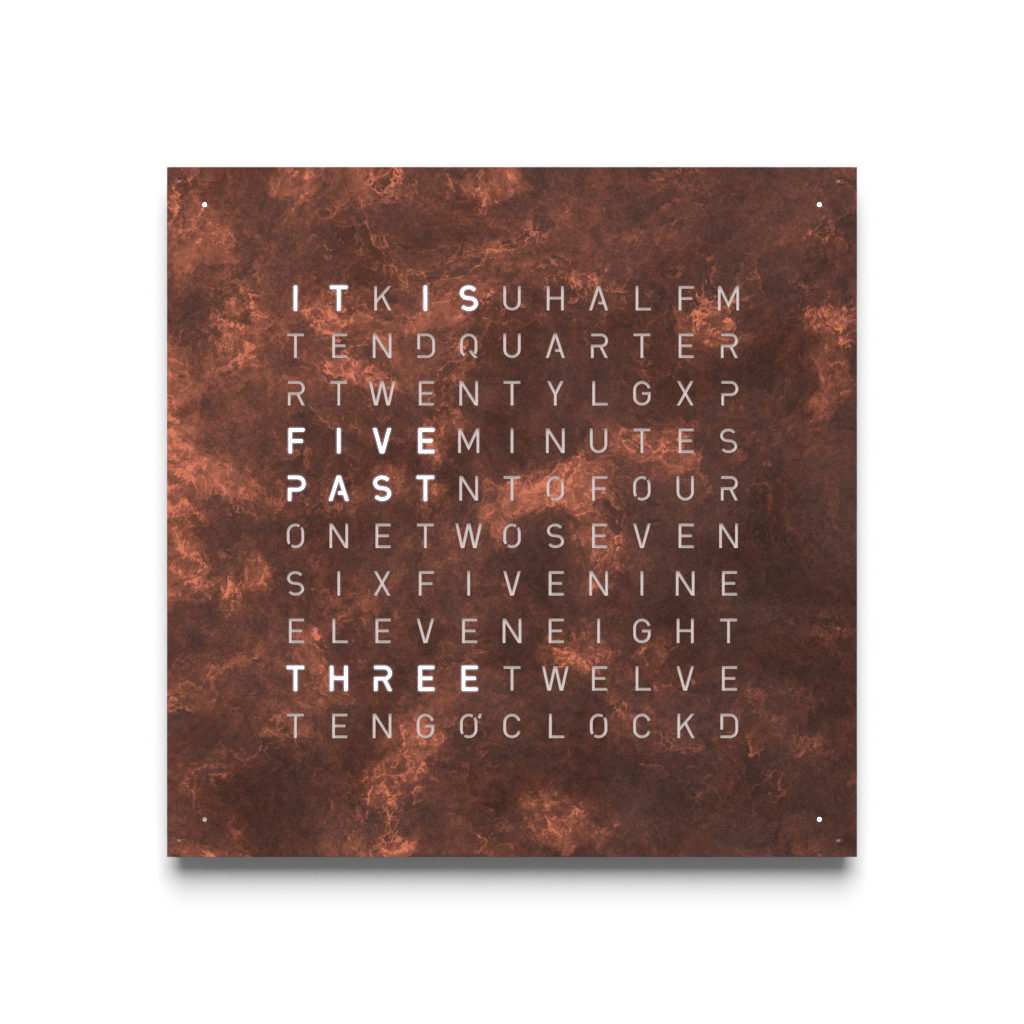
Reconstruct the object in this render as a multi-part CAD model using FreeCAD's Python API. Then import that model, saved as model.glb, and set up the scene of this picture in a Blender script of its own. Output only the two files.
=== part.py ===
"""Square wall word clock, built as the real one comes apart on a bench.

A patinated steel cover is held by magnets on a shallow frame.  Behind it an opal sheet lies in a
light grid of 110 cells, one cell and one lamp for each letter, with a light well in each
corner for the odd minutes.  One circuit board carries all the lamps, and a smaller one at the
bottom edge carries the clock electronics, the supply socket and four setting buttons.

X runs to the viewer's right, Z up and Y into the wall.  The origin lies on the wall plane, at the
centre of the four wall screw holes.  A depth d is measured from the wall towards the viewer, so it
lies at Y = -d.  All sizes are in millimetres.
"""

import FreeCAD
import Part

import math
import os

from FreeCAD import Vector

# ------------------------------------------------------------------ whole clock
cover_side = 450.0
clock_depth = 20.0
cover_thickness = 1.5
cover_edge_break = 0.25
cover_reveal = 3.0  # how far the cover stands past the frame on each side

# ------------------------------------------------------------------ letter field
letter_columns = 11
letter_rows = 10
column_pitch = 28.25
row_pitch = 31.0
minute_inset = 24.5  # cover edge to the centre of a corner light
minute_hole_diameter = 3.0

# ------------------------------------------------------------------ frame
frame_wall = 3.0
frame_corner_radius = 2.0
frame_edge_break = 0.4
wall_gap = 0.6  # frame and rear panel stand this far off the wall
stud_inset = 10.0  # cover edge to the centre of a locating stud
stud_diameter = 3.0
stud_length = 6.0
stud_clearance = 0.2
corner_block_reach = 14.0
corner_block_chamfer = 4.0
corner_block_gap = 0.2  # corner block to the back of the cover
magnet_length = 20.0
magnet_width = 8.0
magnet_thickness = 3.0
magnet_clearance = 0.1
magnet_seat_wall = 1.6
magnet_seat_height = 6.0
magnet_gusset_width = 3.0
magnet_offset = 165.0  # from the middle of each side
ledge_offset = 132.0  # from the middle of each side
ledge_width = 16.0
ledge_reach = 2.5
ledge_height = 6.0
ledge_lead_in = 1.0

# ------------------------------------------------------------------ rear panel
panel_thickness = 2.0
panel_clearance = 0.3
wall_screw_side_inset = 75.0  # cover edge to the centre of a wall screw hole
wall_screw_top_inset = 35.0
wall_screw_hole_diameter = 5.0
wall_boss_width = 16.0
wall_boss_chamfer = 4.0
wall_boss_height = 2.0
pad_width = 16.0
pad_pocket_depth = 0.8
pad_inset = 22.0  # panel edge to the centre of a pad
pad_clearance = 0.2
rib_thickness = 1.6
rib_offset = 105.0
clip_width = 10.0
clip_beam = 1.6
clip_gap = 0.2  # clip's beam to the edge that it passes
clip_hook = 1.2  # hook over that edge
clip_head = 2.0
clip_shelf = 2.0  # shelf under a board's edge

# ------------------------------------------------------------------ lamp board and light grid
board_thickness = 1.6
board_standoff = 4.4  # rear panel to lamp board
board_arm_width = 24.0
board_arm_end = 5.5  # arm past the centre of its corner lamp
board_clip_offset = 80.0  # from the middle of each side
grid_rim = 2.4
grid_lip = 1.2  # lip that the opal sheet lies inside
grid_flange_width = 9.1
grid_flange_thickness = 1.6
cell_wall = 1.2  # at the opal sheet
cell_wall_foot = 2.4  # at the lamp board
led_width = 3.5
led_height = 2.8
led_thickness = 1.4
opal_thickness = 2.0
opal_clearance = 0.3
cover_gap = 0.3  # opal sheet to the back of the cover
light_well_width = 11.0
light_well_bore = 8.0
lens_thickness = 1.5

# ------------------------------------------------------------------ control board
control_board_left = 14.0
control_board_right = 124.0
control_board_edge_gap = 5.0  # to the inside of the frame's lower wall
control_board_gap = 4.0  # to the lamp board
control_arm_left = -10.0
control_clip_inset = 10.0  # board's side edges to the clips on its upper edge
control_clip_rise = 12.0  # board's lower edge to the clip on its right edge
button_first = 35.0
button_pitch = 20.0
button_diameter = 6.0
button_clearance = 0.2
button_proud = 0.8
button_flange_diameter = 9.0
button_flange_thickness = 1.2
button_travel = 0.5
seat_gap = 0.1  # between parts that only rest on each other
switch_size = 6.2
switch_height = 6.6
switch_overhang = 1.2  # switch past the board's lower edge
switch_axis_height = 3.4
plunger_width = 3.0
plunger_depth = 2.0  # plunger inside its switch
plunger_clearance = 0.1
window_place = 108.0
window_diameter = 4.0
sensor_width = 4.0
sensor_length = 5.0
sensor_height = 5.0
sensor_gap = 1.4  # light sensor to its window

# ------------------------------------------------------------------ supply socket and its pocket
socket_width = 9.0
socket_height = 9.2
socket_length = 14.0
socket_axis_height = 4.9
socket_panel_gap = 0.2
socket_inset = 2.0  # from the board's upper edge
socket_collar_diameter = 8.0
socket_collar_clearance = 0.2
socket_bore = 6.3
socket_bore_depth = 9.5
socket_pin_diameter = 2.1
socket_pin_inset = 2.0
plug_diameter = 11.0  # moulded plug that the pocket leaves room for
plug_headroom = 1.0
pocket_width = 16.0
pocket_wall = 2.0

# ------------------------------------------------------------------ small electronics
chip_side = 10.0
chip_thickness = 1.2
chip_place = 102.0
driver_width = 10.0
driver_height = 4.0
driver_thickness = 1.5
driver_first = 38.0
driver_pitch = 18.0
driver_count = 3
cell_diameter = 12.5
cell_thickness = 2.0
cell_place = 74.0
cell_clip_width = 5.0
cell_clip_thickness = 0.4
ribbon_place = 48.0
ribbon_width = 12.0
ribbon_thickness = 0.3
ribbon_bend = 1.2
ribbon_socket_width = 16.0
ribbon_socket_length = 5.5
ribbon_socket_height = 2.6
ribbon_socket_inset = 3.0

# ------------------------------------------------------------------ worked out from the sizes above
cover_back = clock_depth - cover_thickness
cover_half = cover_side / 2
frame_half = cover_half - cover_reveal
inner_half = frame_half - frame_wall
stud_offset = cover_half - stud_inset
minute_offset = cover_half - minute_inset
arm_reach = minute_offset * math.sqrt(2)  # centre of the clock to the centre of a corner light
panel_half = inner_half - panel_clearance
panel_inside = wall_gap + panel_thickness
magnet_centre = inner_half - magnet_seat_wall - magnet_width / 2
ledge_face = inner_half - ledge_reach
ledge_front = panel_inside + ledge_height

field_half_width = letter_columns * column_pitch / 2
field_half_height = letter_rows * row_pitch / 2
grid_half_width = field_half_width + grid_rim
grid_half_height = field_half_height + grid_rim
board_half_width = grid_half_width + grid_flange_width
board_half_height = grid_half_height + grid_flange_width
board_back = panel_inside + board_standoff
board_front = board_back + board_thickness
opal_front = cover_back - cover_gap
opal_back = opal_front - opal_thickness
lens_back = opal_front - lens_thickness
flange_front = board_front + grid_flange_thickness

control_top = -(board_half_height + control_board_gap)
control_bottom = -(inner_half - control_board_edge_gap)
control_board_depth = panel_inside + socket_panel_gap + socket_height
control_front = control_board_depth + board_thickness
button_depth = control_board_depth - switch_axis_height
button_flange_top = -inner_half + seat_gap + button_flange_thickness
switch_mouth = control_bottom - switch_overhang
switch_top = switch_mouth + switch_size
component_height = (control_top + switch_top) / 2
socket_depth = control_board_depth - socket_axis_height
socket_top = control_top - socket_inset
socket_mouth = socket_top - socket_length
pocket_end = socket_mouth - pocket_wall
pocket_depth = socket_depth + plug_diameter / 2 + plug_headroom


# ------------------------------------------------------------------ shape helpers
def slab(x0, x1, z0, z1, d0, d1):
    """A rectangular solid between two depths."""
    return Part.makeBox(x1 - x0, d1 - d0, z1 - z0, Vector(x0, -d1, z0))


def disc(x, z, diameter, d0, d1):
    """A round solid whose axis runs to the wall."""
    return Part.makeCylinder(diameter / 2, d1 - d0, Vector(x, -d0, z), Vector(0, -1, 0))


def prism(points, d0, d1):
    """A straight-sided outline in X and Z, carried from one depth to another."""
    corners = [Vector(x, -d0, z) for x, z in points]
    face = Part.Face(Part.makePolygon(corners + corners[:1]))
    return face.extrude(Vector(0, d0 - d1, 0))


def turned_upright(x, d, profile):
    """A turned solid on a vertical axis: the profile lists (radius, height)."""
    corners = [Vector(x + radius, -d, height) for radius, height in profile]
    face = Part.Face(Part.makePolygon(corners + corners[:1]))
    return face.revolve(Vector(x, -d, 0), Vector(0, 0, 1), 360)


def at_depth(shape, d):
    """The edges of a shape that lie wholly at one depth."""
    return [e for e in shape.Edges if all(abs(v.Y + d) < 1e-6 for v in e.Vertexes)]


def edges_to_wall(shape):
    """The edges of a shape that run straight to the wall."""
    return [e for e in shape.Edges if abs(e.Vertexes[0].Y - e.Vertexes[-1].Y) > 1e-6]


def mirrored_pairs(x, z):
    """The four places at plus and minus x and z."""
    return [(sx * x, sz * z) for sx in (-1, 1) for sz in (-1, 1)]


def bar_along_x(points, x0, x1):
    """An outline in Z and depth, carried from one X to another."""
    corners = [Vector(x0, -d, z) for z, d in points]
    face = Part.Face(Part.makePolygon(corners + corners[:1]))
    return face.extrude(Vector(x1 - x0, 0, 0))


def turned_about_centre(shape, angle):
    """A copy turned about the clock's centre, clockwise as the viewer sees it."""
    copy = shape.copy()
    copy.rotate(Vector(0, 0, 0), Vector(0, 1, 0), angle)
    return copy


def on_each_side(shape):
    """What stands at the top side, repeated on all four sides of the square."""
    return [turned_about_centre(shape, angle) for angle in (0, 90, 180, 270)]


def on_each_arm(shape):
    """What stands above the centre, repeated on the four diagonals."""
    return [turned_about_centre(shape, angle) for angle in (45, 135, 225, 315)]


# ------------------------------------------------------------------ cover, with its locating studs
def front_cover():
    """Flat steel sheet with a hole for each corner light and a lightly broken front edge."""
    sheet = slab(-cover_half, cover_half, -cover_half, cover_half, cover_back, clock_depth)
    sheet = sheet.makeChamfer(cover_edge_break, at_depth(sheet, clock_depth))
    holes = [
        disc(x, z, minute_hole_diameter, cover_back, clock_depth)
        for x, z in mirrored_pairs(minute_offset, minute_offset)
    ]
    return sheet.cut(holes)


def locating_studs():
    """Four pins welded behind the corners of the cover."""
    tip = cover_back - stud_length
    places = mirrored_pairs(stud_offset, stud_offset)
    return Part.makeCompound([disc(x, z, stud_diameter, tip, cover_back) for x, z in places])


# ------------------------------------------------------------------ frame and magnets
def corner_block():
    """Moulded block in the upper right corner that takes one locating stud."""
    outer = inner_half + frame_wall / 2
    near = inner_half - corner_block_reach
    points = [
        (outer, outer),
        (near, outer),
        (near, near + corner_block_chamfer),
        (near + corner_block_chamfer, near),
        (outer, near),
    ]
    return prism(points, panel_inside, cover_back - corner_block_gap)


def stud_socket():
    """The cutter for the stud in the upper right corner."""
    floor = cover_back - stud_length - stud_clearance
    return disc(stud_offset, stud_offset, stud_diameter + 2 * stud_clearance, floor, cover_back)


def magnet_seat(x):
    """Seat on the top wall for one bar magnet, with a gusset down the wall."""
    back = cover_back - magnet_seat_height
    wall = inner_half + frame_wall / 2
    tip = magnet_centre - magnet_width / 2 - magnet_seat_wall
    half = magnet_length / 2 + magnet_seat_wall
    seat = slab(x - half, x + half, tip, wall, back, cover_back)
    gusset = bar_along_x(
        [(wall, back), (tip, back), (wall, back - magnet_seat_height)],
        x - magnet_gusset_width / 2,
        x + magnet_gusset_width / 2,
    )
    return seat.fuse(gusset)


def magnet_block(x, grown):
    """A bar magnet at the top side, grown on its four sides by a clearance."""
    half_length = magnet_length / 2 + grown
    half_width = magnet_width / 2 + grown
    low, high = magnet_centre - half_width, magnet_centre + half_width
    return slab(x - half_length, x + half_length, low, high, cover_back - magnet_thickness, cover_back)


def panel_ledge(x):
    """Ledge on the top wall that stops the rear panel and that one of its clips hooks over."""
    wall = inner_half + frame_wall / 2
    points = [
        (wall, panel_inside),
        (ledge_face + ledge_lead_in, panel_inside),
        (ledge_face, panel_inside + ledge_lead_in),
        (ledge_face, ledge_front),
        (wall, ledge_front),
    ]
    return bar_along_x(points, x - ledge_width / 2, x + ledge_width / 2)


def lower_wall_hole(x, diameter):
    """A round cutter through the frame's lower wall, level with the buttons."""
    start = Vector(x, -button_depth, -frame_half - frame_wall)
    return Part.makeCylinder(diameter / 2, 2 * frame_wall, start, Vector(0, 0, 1))


def side_frame():
    """Lacquered square frame, moulded in one with its blocks, magnet seats and ledges."""
    outer = slab(-frame_half, frame_half, -frame_half, frame_half, wall_gap, cover_back)
    outer = outer.makeFillet(frame_corner_radius, edges_to_wall(outer))
    outer = outer.makeChamfer(frame_edge_break, at_depth(outer, wall_gap))
    ring = outer.cut(slab(-inner_half, inner_half, -inner_half, inner_half, wall_gap, cover_back))
    fittings = on_each_side(corner_block())
    openings = on_each_side(stud_socket())
    for side in (-1, 1):
        fittings += on_each_side(magnet_seat(side * magnet_offset))
        fittings += on_each_side(panel_ledge(side * ledge_offset))
        openings += on_each_side(magnet_block(side * magnet_offset, magnet_clearance))
    openings += [lower_wall_hole(x, button_diameter + 2 * button_clearance) for x in button_places()]
    openings.append(lower_wall_hole(window_place, window_diameter + 2 * seat_gap))
    notch_half = pocket_width / 2
    openings.append(slab(-notch_half, notch_half, -cover_half, -panel_half, 0, pocket_depth))
    return ring.fuse(fittings).removeSplitter().cut(openings)


def cover_magnets():
    """Eight bar magnets, flush with the frame's front edge."""
    magnets = []
    for side in (-1, 1):
        magnets += on_each_side(magnet_block(side * magnet_offset, 0))
    return Part.makeCompound(magnets)


# ------------------------------------------------------------------ rear panel, its clips and wall pads
def clip(x, z, outward, seat, catch, shelf):
    """A moulded clip on the rear panel, at one point of the edge that it holds.

    outward is the direction from that edge to the beam: 0 is up, 90 is the viewer's right.  A shelf
    stands under the edge up to the seat depth, and the hook closes over it at the catch depth.
    """
    foot = panel_inside - panel_thickness / 2
    back = clip_gap + clip_beam
    points = [
        (-shelf, foot),
        (-shelf, seat),
        (clip_gap, seat),
        (clip_gap, catch + seat_gap),
        (-clip_hook, catch + seat_gap),
        (clip_gap, catch + seat_gap + clip_head),
        (back, catch + seat_gap + clip_head),
        (back, foot),
    ]
    shape = turned_about_centre(bar_along_x(points, -clip_width / 2, clip_width / 2), outward)
    shape.translate(Vector(x, 0, z))
    return shape


def frame_clips():
    """The rear panel's eight clips over the frame's ledges."""
    top = [clip(side * ledge_offset, ledge_face, 180, panel_inside, ledge_front, 0) for side in (-1, 1)]
    return [shape for one in top for shape in on_each_side(one)]


def lamp_board_clips():
    """Clips that hold the lamp board and the light grid's flange together, two on each side."""
    clips = []
    for offset in (-board_clip_offset, board_clip_offset):
        for x, z, outward in (
            (offset, board_half_height, 0),
            (board_half_width, offset, 90),
            (offset, -board_half_height, 180),
            (-board_half_width, offset, 270),
        ):
            clips.append(clip(x, z, outward, board_back, flange_front, clip_shelf))
    return clips


def arm_clips():
    """A pair of clips either side of each of the lamp board's arms, half way along it."""
    board_corner = (board_half_width + board_half_height) / math.sqrt(2)
    height = (board_corner + arm_reach) / 2
    half = board_arm_width / 2
    right = clip(half, height, 90, board_back, board_front, clip_shelf)
    left = clip(-half, height, 270, board_back, board_front, clip_shelf)
    return on_each_arm(right) + on_each_arm(left)


def control_board_clips():
    """Two clips on the control board's upper edge and one on its right edge.

    On the left the board is held by the supply socket, whose collar sits in the pocket's end wall.
    """
    places = (
        (control_board_left + control_clip_inset, control_top, 0),
        (control_board_right - control_clip_inset, control_top, 0),
        (control_board_right, control_bottom + control_clip_rise, 90),
    )
    return [clip(*place, control_board_depth, control_front, clip_shelf) for place in places]


def wall_screw_places():
    """The four holes that the clock is screwed to the wall through."""
    return mirrored_pairs(cover_half - wall_screw_side_inset, cover_half - wall_screw_top_inset)


def wall_boss(x, z):
    """A chamfered block round one wall screw, from the wall to a little inside the panel."""
    half = wall_boss_width / 2
    short = half - wall_boss_chamfer
    corners = [
        (half, short),
        (short, half),
        (-short, half),
        (-half, short),
        (-half, -short),
        (-short, -half),
        (short, -half),
        (half, -short),
    ]
    return prism([(x + u, z + v) for u, v in corners], 0, panel_inside + wall_boss_height)


def pad(x, z, grown):
    """A square wall pad, grown on its four sides by a clearance."""
    half = pad_width / 2 + grown
    return slab(x - half, x + half, z - half, z + half, 0, wall_gap + pad_pocket_depth)


def pad_places():
    """Rubber pads near the corners of the rear panel."""
    return mirrored_pairs(panel_half - pad_inset, panel_half - pad_inset)


def board_ribs():
    """Crossed ribs that the lamp board lies on, and a short one under each of its arms."""
    foot = panel_inside - panel_thickness / 2
    half = rib_thickness / 2
    width, height = board_half_width, board_half_height
    ribs = []
    for offset in (-rib_offset, 0, rib_offset):
        low, high = offset - half, offset + half
        ribs.append(slab(low, high, -height, height, foot, board_back))
        ribs.append(slab(-width, width, low, high, foot, board_back))
    arm_half = board_arm_width / 2
    arm_rib = slab(-arm_half, arm_half, arm_reach - half, arm_reach + half, foot, board_back)
    return ribs + on_each_arm(arm_rib)


def plug_pocket():
    """Box moulded on the panel, open to the wall and downwards, that houses the supply plug."""
    half = pocket_width / 2 + pocket_wall
    roof = pocket_depth + pocket_wall
    walls = slab(-half, half, -panel_half, socket_mouth, wall_gap, roof)
    upright = [e for e in at_depth(walls, roof) if abs(e.Vertexes[0].Z - e.Vertexes[-1].Z) > 1e-6]
    return walls.makeChamfer(pocket_wall / 2, upright)


def plug_space():
    """The hollow of the pocket with the hole for the socket's collar."""
    half = pocket_width / 2
    hollow = slab(-half, half, -cover_half, pocket_end, 0, pocket_depth)
    collar_radius = socket_collar_diameter / 2 + socket_collar_clearance
    start = Vector(0, -socket_depth, pocket_end - pocket_wall)
    return hollow.fuse(Part.makeCylinder(collar_radius, 3 * pocket_wall, start, Vector(0, 0, 1)))


def rear_panel():
    """Moulded rear panel with ribs, clips, wall bosses and the plug pocket."""
    plate = slab(-panel_half, panel_half, -panel_half, panel_half, wall_gap, panel_inside)
    clips = frame_clips() + lamp_board_clips() + arm_clips() + control_board_clips()
    bosses = [wall_boss(x, z) for x, z in wall_screw_places()]
    panel = plate.fuse(clips + bosses + board_ribs() + [plug_pocket()])
    boss_top = panel_inside + wall_boss_height
    cutters = [disc(x, z, wall_screw_hole_diameter, 0, boss_top) for x, z in wall_screw_places()]
    cutters += [pad(x, z, pad_clearance) for x, z in pad_places()]
    cutters.append(plug_space())
    return panel.removeSplitter().cut(cutters)


def wall_pads():
    """Four rubber pads that keep the panel off the wall."""
    return Part.makeCompound([pad(x, z, 0) for x, z in pad_places()])


# ------------------------------------------------------------------ lamp board, lamps and light grid
def lamp_board():
    """Circuit board: a square for the letters with four arms out to the corner lights."""
    width, height = board_half_width, board_half_height
    square = slab(-width, width, -height, height, board_back, board_front)
    half = board_arm_width / 2
    arm = slab(-half, half, 0, arm_reach + board_arm_end, board_back, board_front)
    return square.fuse(on_each_arm(arm)).removeSplitter()


def lamp(x, z):
    """One surface-mounted lamp on the front of the board."""
    width, height = led_width / 2, led_height / 2
    return slab(x - width, x + width, z - height, z + height, board_front, board_front + led_thickness)


def cell_centres():
    """The centres of all letter cells, row by row from the top left."""
    return [
        (
            -field_half_width + (column + 0.5) * column_pitch,
            field_half_height - (row + 0.5) * row_pitch,
        )
        for row in range(letter_rows)
        for column in range(letter_columns)
    ]


def letter_lamps():
    """One lamp behind each letter."""
    return Part.makeCompound([lamp(x, z) for x, z in cell_centres()])


def minute_lamps():
    """One lamp behind each corner light."""
    places = mirrored_pairs(minute_offset, minute_offset)
    return Part.makeCompound([lamp(x, z) for x, z in places])


def rectangle(x, z, half_width, half_height, d):
    """A closed rectangular wire at one depth."""
    corners = [
        Vector(x + sx * half_width, -d, z + sz * half_height)
        for sx, sz in ((-1, -1), (1, -1), (1, 1), (-1, 1))
    ]
    return Part.makePolygon(corners + corners[:1])


def light_cell(x, z):
    """The flared hollow of one cell, from the lamp board to the opal sheet."""
    foot_width, foot_height = (column_pitch - cell_wall_foot) / 2, (row_pitch - cell_wall_foot) / 2
    mouth_width, mouth_height = (column_pitch - cell_wall) / 2, (row_pitch - cell_wall) / 2
    foot = rectangle(x, z, foot_width, foot_height, board_front)
    mouth = rectangle(x, z, mouth_width, mouth_height, opal_back)
    return Part.makeLoft([foot, mouth], True, True)


def light_grid():
    """White moulded grid with a flared cell for each letter, a flange and a seat for the opal sheet."""
    width, height = grid_half_width, grid_half_height
    block = slab(-width, width, -height, height, board_front, opal_front)
    flange_width, flange_height = board_half_width, board_half_height
    flange = slab(-flange_width, flange_width, -flange_height, flange_height, board_front, flange_front)
    seat_width, seat_height = width - grid_lip, height - grid_lip
    seat = slab(-seat_width, seat_width, -seat_height, seat_height, opal_back, opal_front)
    cells = [light_cell(x, z) for x, z in cell_centres()]
    return block.fuse(flange).cut(seat).cut(Part.makeCompound(cells))


def opal_sheet():
    """Opal acrylic sheet that lies in the light grid behind all the letters."""
    width = grid_half_width - grid_lip - opal_clearance
    height = grid_half_height - grid_lip - opal_clearance
    return slab(-width, width, -height, height, opal_back, opal_front)


def light_well_block(d0, d1):
    """A square block on the upper arm, round the axis of its corner light."""
    half = light_well_width / 2
    return slab(-half, half, arm_reach - half, arm_reach + half, d0, d1)


def light_wells():
    """Four white square towers with a round bore, on the board's arms."""
    tower = light_well_block(board_front, lens_back)
    tower = tower.cut(disc(0, arm_reach, light_well_bore, board_front, lens_back))
    return Part.makeCompound(on_each_arm(tower))


def minute_lenses():
    """Opal plates that close the light wells."""
    return Part.makeCompound(on_each_arm(light_well_block(lens_back, opal_front)))


# ------------------------------------------------------------------ control board and what is on it
def control_board():
    """L-shaped circuit board along the lower edge; its short arm carries the supply socket."""
    arm_bottom = socket_mouth + pocket_wall
    points = [
        (control_arm_left, control_top),
        (control_board_right, control_top),
        (control_board_right, control_bottom),
        (control_board_left, control_bottom),
        (control_board_left, arm_bottom),
        (control_arm_left, arm_bottom),
    ]
    return prism(points, control_board_depth, control_front)


def microcontroller():
    """The clock chip, on the front of the control board."""
    half = chip_side / 2
    low, high = component_height - half, component_height + half
    front = control_front + chip_thickness
    chip = slab(chip_place - half, chip_place + half, low, high, control_front, front)
    return chip.makeChamfer(chip_thickness / 3, at_depth(chip, front))


def lamp_drivers():
    """Three lamp driver chips beside the clock chip."""
    low, high = component_height - driver_height / 2, component_height + driver_height / 2
    chips = []
    for step in range(driver_count):
        x = driver_first + driver_pitch * step
        left, right = x - driver_width / 2, x + driver_width / 2
        chips.append(slab(left, right, low, high, control_front, control_front + driver_thickness))
    return Part.makeCompound(chips)


def backup_cell():
    """Coin cell that keeps the time through a power cut, on the wall side of the control board."""
    front = control_board_depth - cell_clip_thickness
    return disc(cell_place, component_height, cell_diameter, front - cell_thickness, front)


def backup_cell_clip():
    """Spring clip over the coin cell, with a foot either side and a contact under the cell."""
    x, z = cell_place, component_height
    half = cell_clip_width / 2
    reach = cell_diameter / 2 + seat_gap
    foot_end = reach + cell_clip_width / 2
    thickness = cell_clip_thickness
    front = control_board_depth
    back = front - 2 * thickness - cell_thickness
    inside = back + thickness
    over = slab(x - reach - thickness, x + reach + thickness, z - half, z + half, back, inside)
    strips = []
    for side in (-1, 1):
        leg = sorted((x + side * reach, x + side * (reach + thickness)))
        foot = sorted((x + side * reach, x + side * foot_end))
        strips.append(slab(*leg, z - half, z + half, back, front))
        strips.append(slab(*foot, z - half, z + half, front - thickness, front))
    contact = slab(x - half, x + half, z - half, z + half, front - thickness, front)
    return Part.makeCompound([over.fuse(strips).removeSplitter(), contact])


def supply_socket():
    """Low-voltage socket under the control board, its mouth in the plug pocket."""
    half = socket_width / 2
    back = control_board_depth - socket_height
    body = slab(-half, half, socket_mouth, socket_top, back, control_board_depth)
    collar_start = Vector(0, -socket_depth, pocket_end)
    upwards = Vector(0, 0, 1)
    collar = Part.makeCylinder(socket_collar_diameter / 2, 2 * pocket_wall, collar_start, upwards)
    floor = pocket_end + socket_bore_depth
    tip = pocket_end + socket_pin_inset
    bore = [
        (0, pocket_end),
        (socket_bore / 2, pocket_end),
        (socket_bore / 2, floor),
        (socket_pin_diameter / 2, floor),
        (socket_pin_diameter / 2, tip),
        (0, tip),
    ]
    return body.fuse(collar).cut(turned_upright(0, socket_depth, bore))


def ribbon_cable():
    """Flat cable from the control board up to the back of the lamp board, in one S bend."""
    lower = control_board_depth - ribbon_socket_height / 2
    upper = board_back - ribbon_socket_height / 2
    middle = control_top + control_board_gap / 2
    start = control_top
    finish = -board_half_height + ribbon_socket_inset
    bend = ribbon_bend
    lean = bend * (1 - math.cos(math.pi / 4))
    path = Part.Wire(
        [
            Part.makeLine(Vector(0, -lower, start), Vector(0, -lower, middle - bend)),
            Part.Arc(
                Vector(0, -lower, middle - bend),
                Vector(0, -(lower - lean), middle - lean),
                Vector(0, -(lower - bend), middle),
            ).toShape(),
            Part.makeLine(Vector(0, -(lower - bend), middle), Vector(0, -(upper + bend), middle)),
            Part.Arc(
                Vector(0, -(upper + bend), middle),
                Vector(0, -(upper + lean), middle + lean),
                Vector(0, -upper, middle + bend),
            ).toShape(),
            Part.makeLine(Vector(0, -upper, middle + bend), Vector(0, -upper, finish)),
        ]
    )
    half_width = ribbon_width / 2
    half = ribbon_thickness / 2
    section = Part.makePolygon(
        [
            Vector(-half_width, -lower - half, start),
            Vector(half_width, -lower - half, start),
            Vector(half_width, -lower + half, start),
            Vector(-half_width, -lower + half, start),
            Vector(-half_width, -lower - half, start),
        ]
    )
    cable = path.makePipeShell([section], True, False)
    cable.translate(Vector(ribbon_place, 0, 0))
    return cable


def ribbon_sockets():
    """The flat cable's two sockets, one on the back of each board."""
    left = ribbon_place - ribbon_socket_width / 2
    right = ribbon_place + ribbon_socket_width / 2
    control = slab(
        left,
        right,
        control_top - ribbon_socket_length,
        control_top,
        control_board_depth - ribbon_socket_height,
        control_board_depth,
    )
    mouth = -board_half_height + ribbon_socket_inset
    lamp_side = slab(
        left, right, mouth, mouth + ribbon_socket_length, board_back - ribbon_socket_height, board_back
    )
    return Part.makeCompound([control, lamp_side])


# ------------------------------------------------------------------ buttons, switches and light sensor
def button_places():
    """The four buttons' places along the lower edge."""
    return [button_first + button_pitch * step for step in range(4)]


def button(x):
    """A setting button: a round crown through the wall and a flange inside it."""
    face = -frame_half - button_proud
    radius = button_diameter / 2
    flange_low = -inner_half + seat_gap
    profile = [
        (0, face),
        (radius, face),
        (radius, flange_low),
        (button_flange_diameter / 2, flange_low),
        (button_flange_diameter / 2, button_flange_top),
        (0, button_flange_top),
    ]
    return turned_upright(x, button_depth, profile)


def square_bar(x, width, low, high):
    """A square bar standing on the button's axis."""
    half = width / 2
    return slab(x - half, x + half, low, high, button_depth - half, button_depth + half)


def switch_plunger(x):
    """The square plunger of one switch, which its button pushes up."""
    return square_bar(x, plunger_width, button_flange_top + seat_gap, switch_mouth + plunger_depth)


def button_switches():
    """Four edge-mounted push switches under the control board."""
    back = control_board_depth - switch_height
    half = switch_size / 2
    floor = switch_mouth + plunger_depth + button_travel + seat_gap
    bore_width = plunger_width + 2 * plunger_clearance
    switches = []
    for x in button_places():
        case = slab(x - half, x + half, switch_mouth, switch_top, back, control_board_depth)
        switches.append(case.cut(square_bar(x, bore_width, switch_mouth, floor)))
    return Part.makeCompound(switches)


def light_sensor():
    """Brightness sensor under the control board, behind its window."""
    half = sensor_width / 2
    low = -inner_half + sensor_gap
    back = button_depth - sensor_height / 2
    left, right = window_place - half, window_place + half
    return slab(left, right, low, low + sensor_length, back, control_board_depth)


def sensor_window():
    """Clear plug that fills its hole in the lower wall."""
    start = Vector(window_place, -button_depth, -frame_half)
    return Part.makeCylinder(window_diameter / 2, frame_wall, start, Vector(0, 0, 1))


# ------------------------------------------------------------------ build and write every piece
os.makedirs("parts", exist_ok=True)

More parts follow.
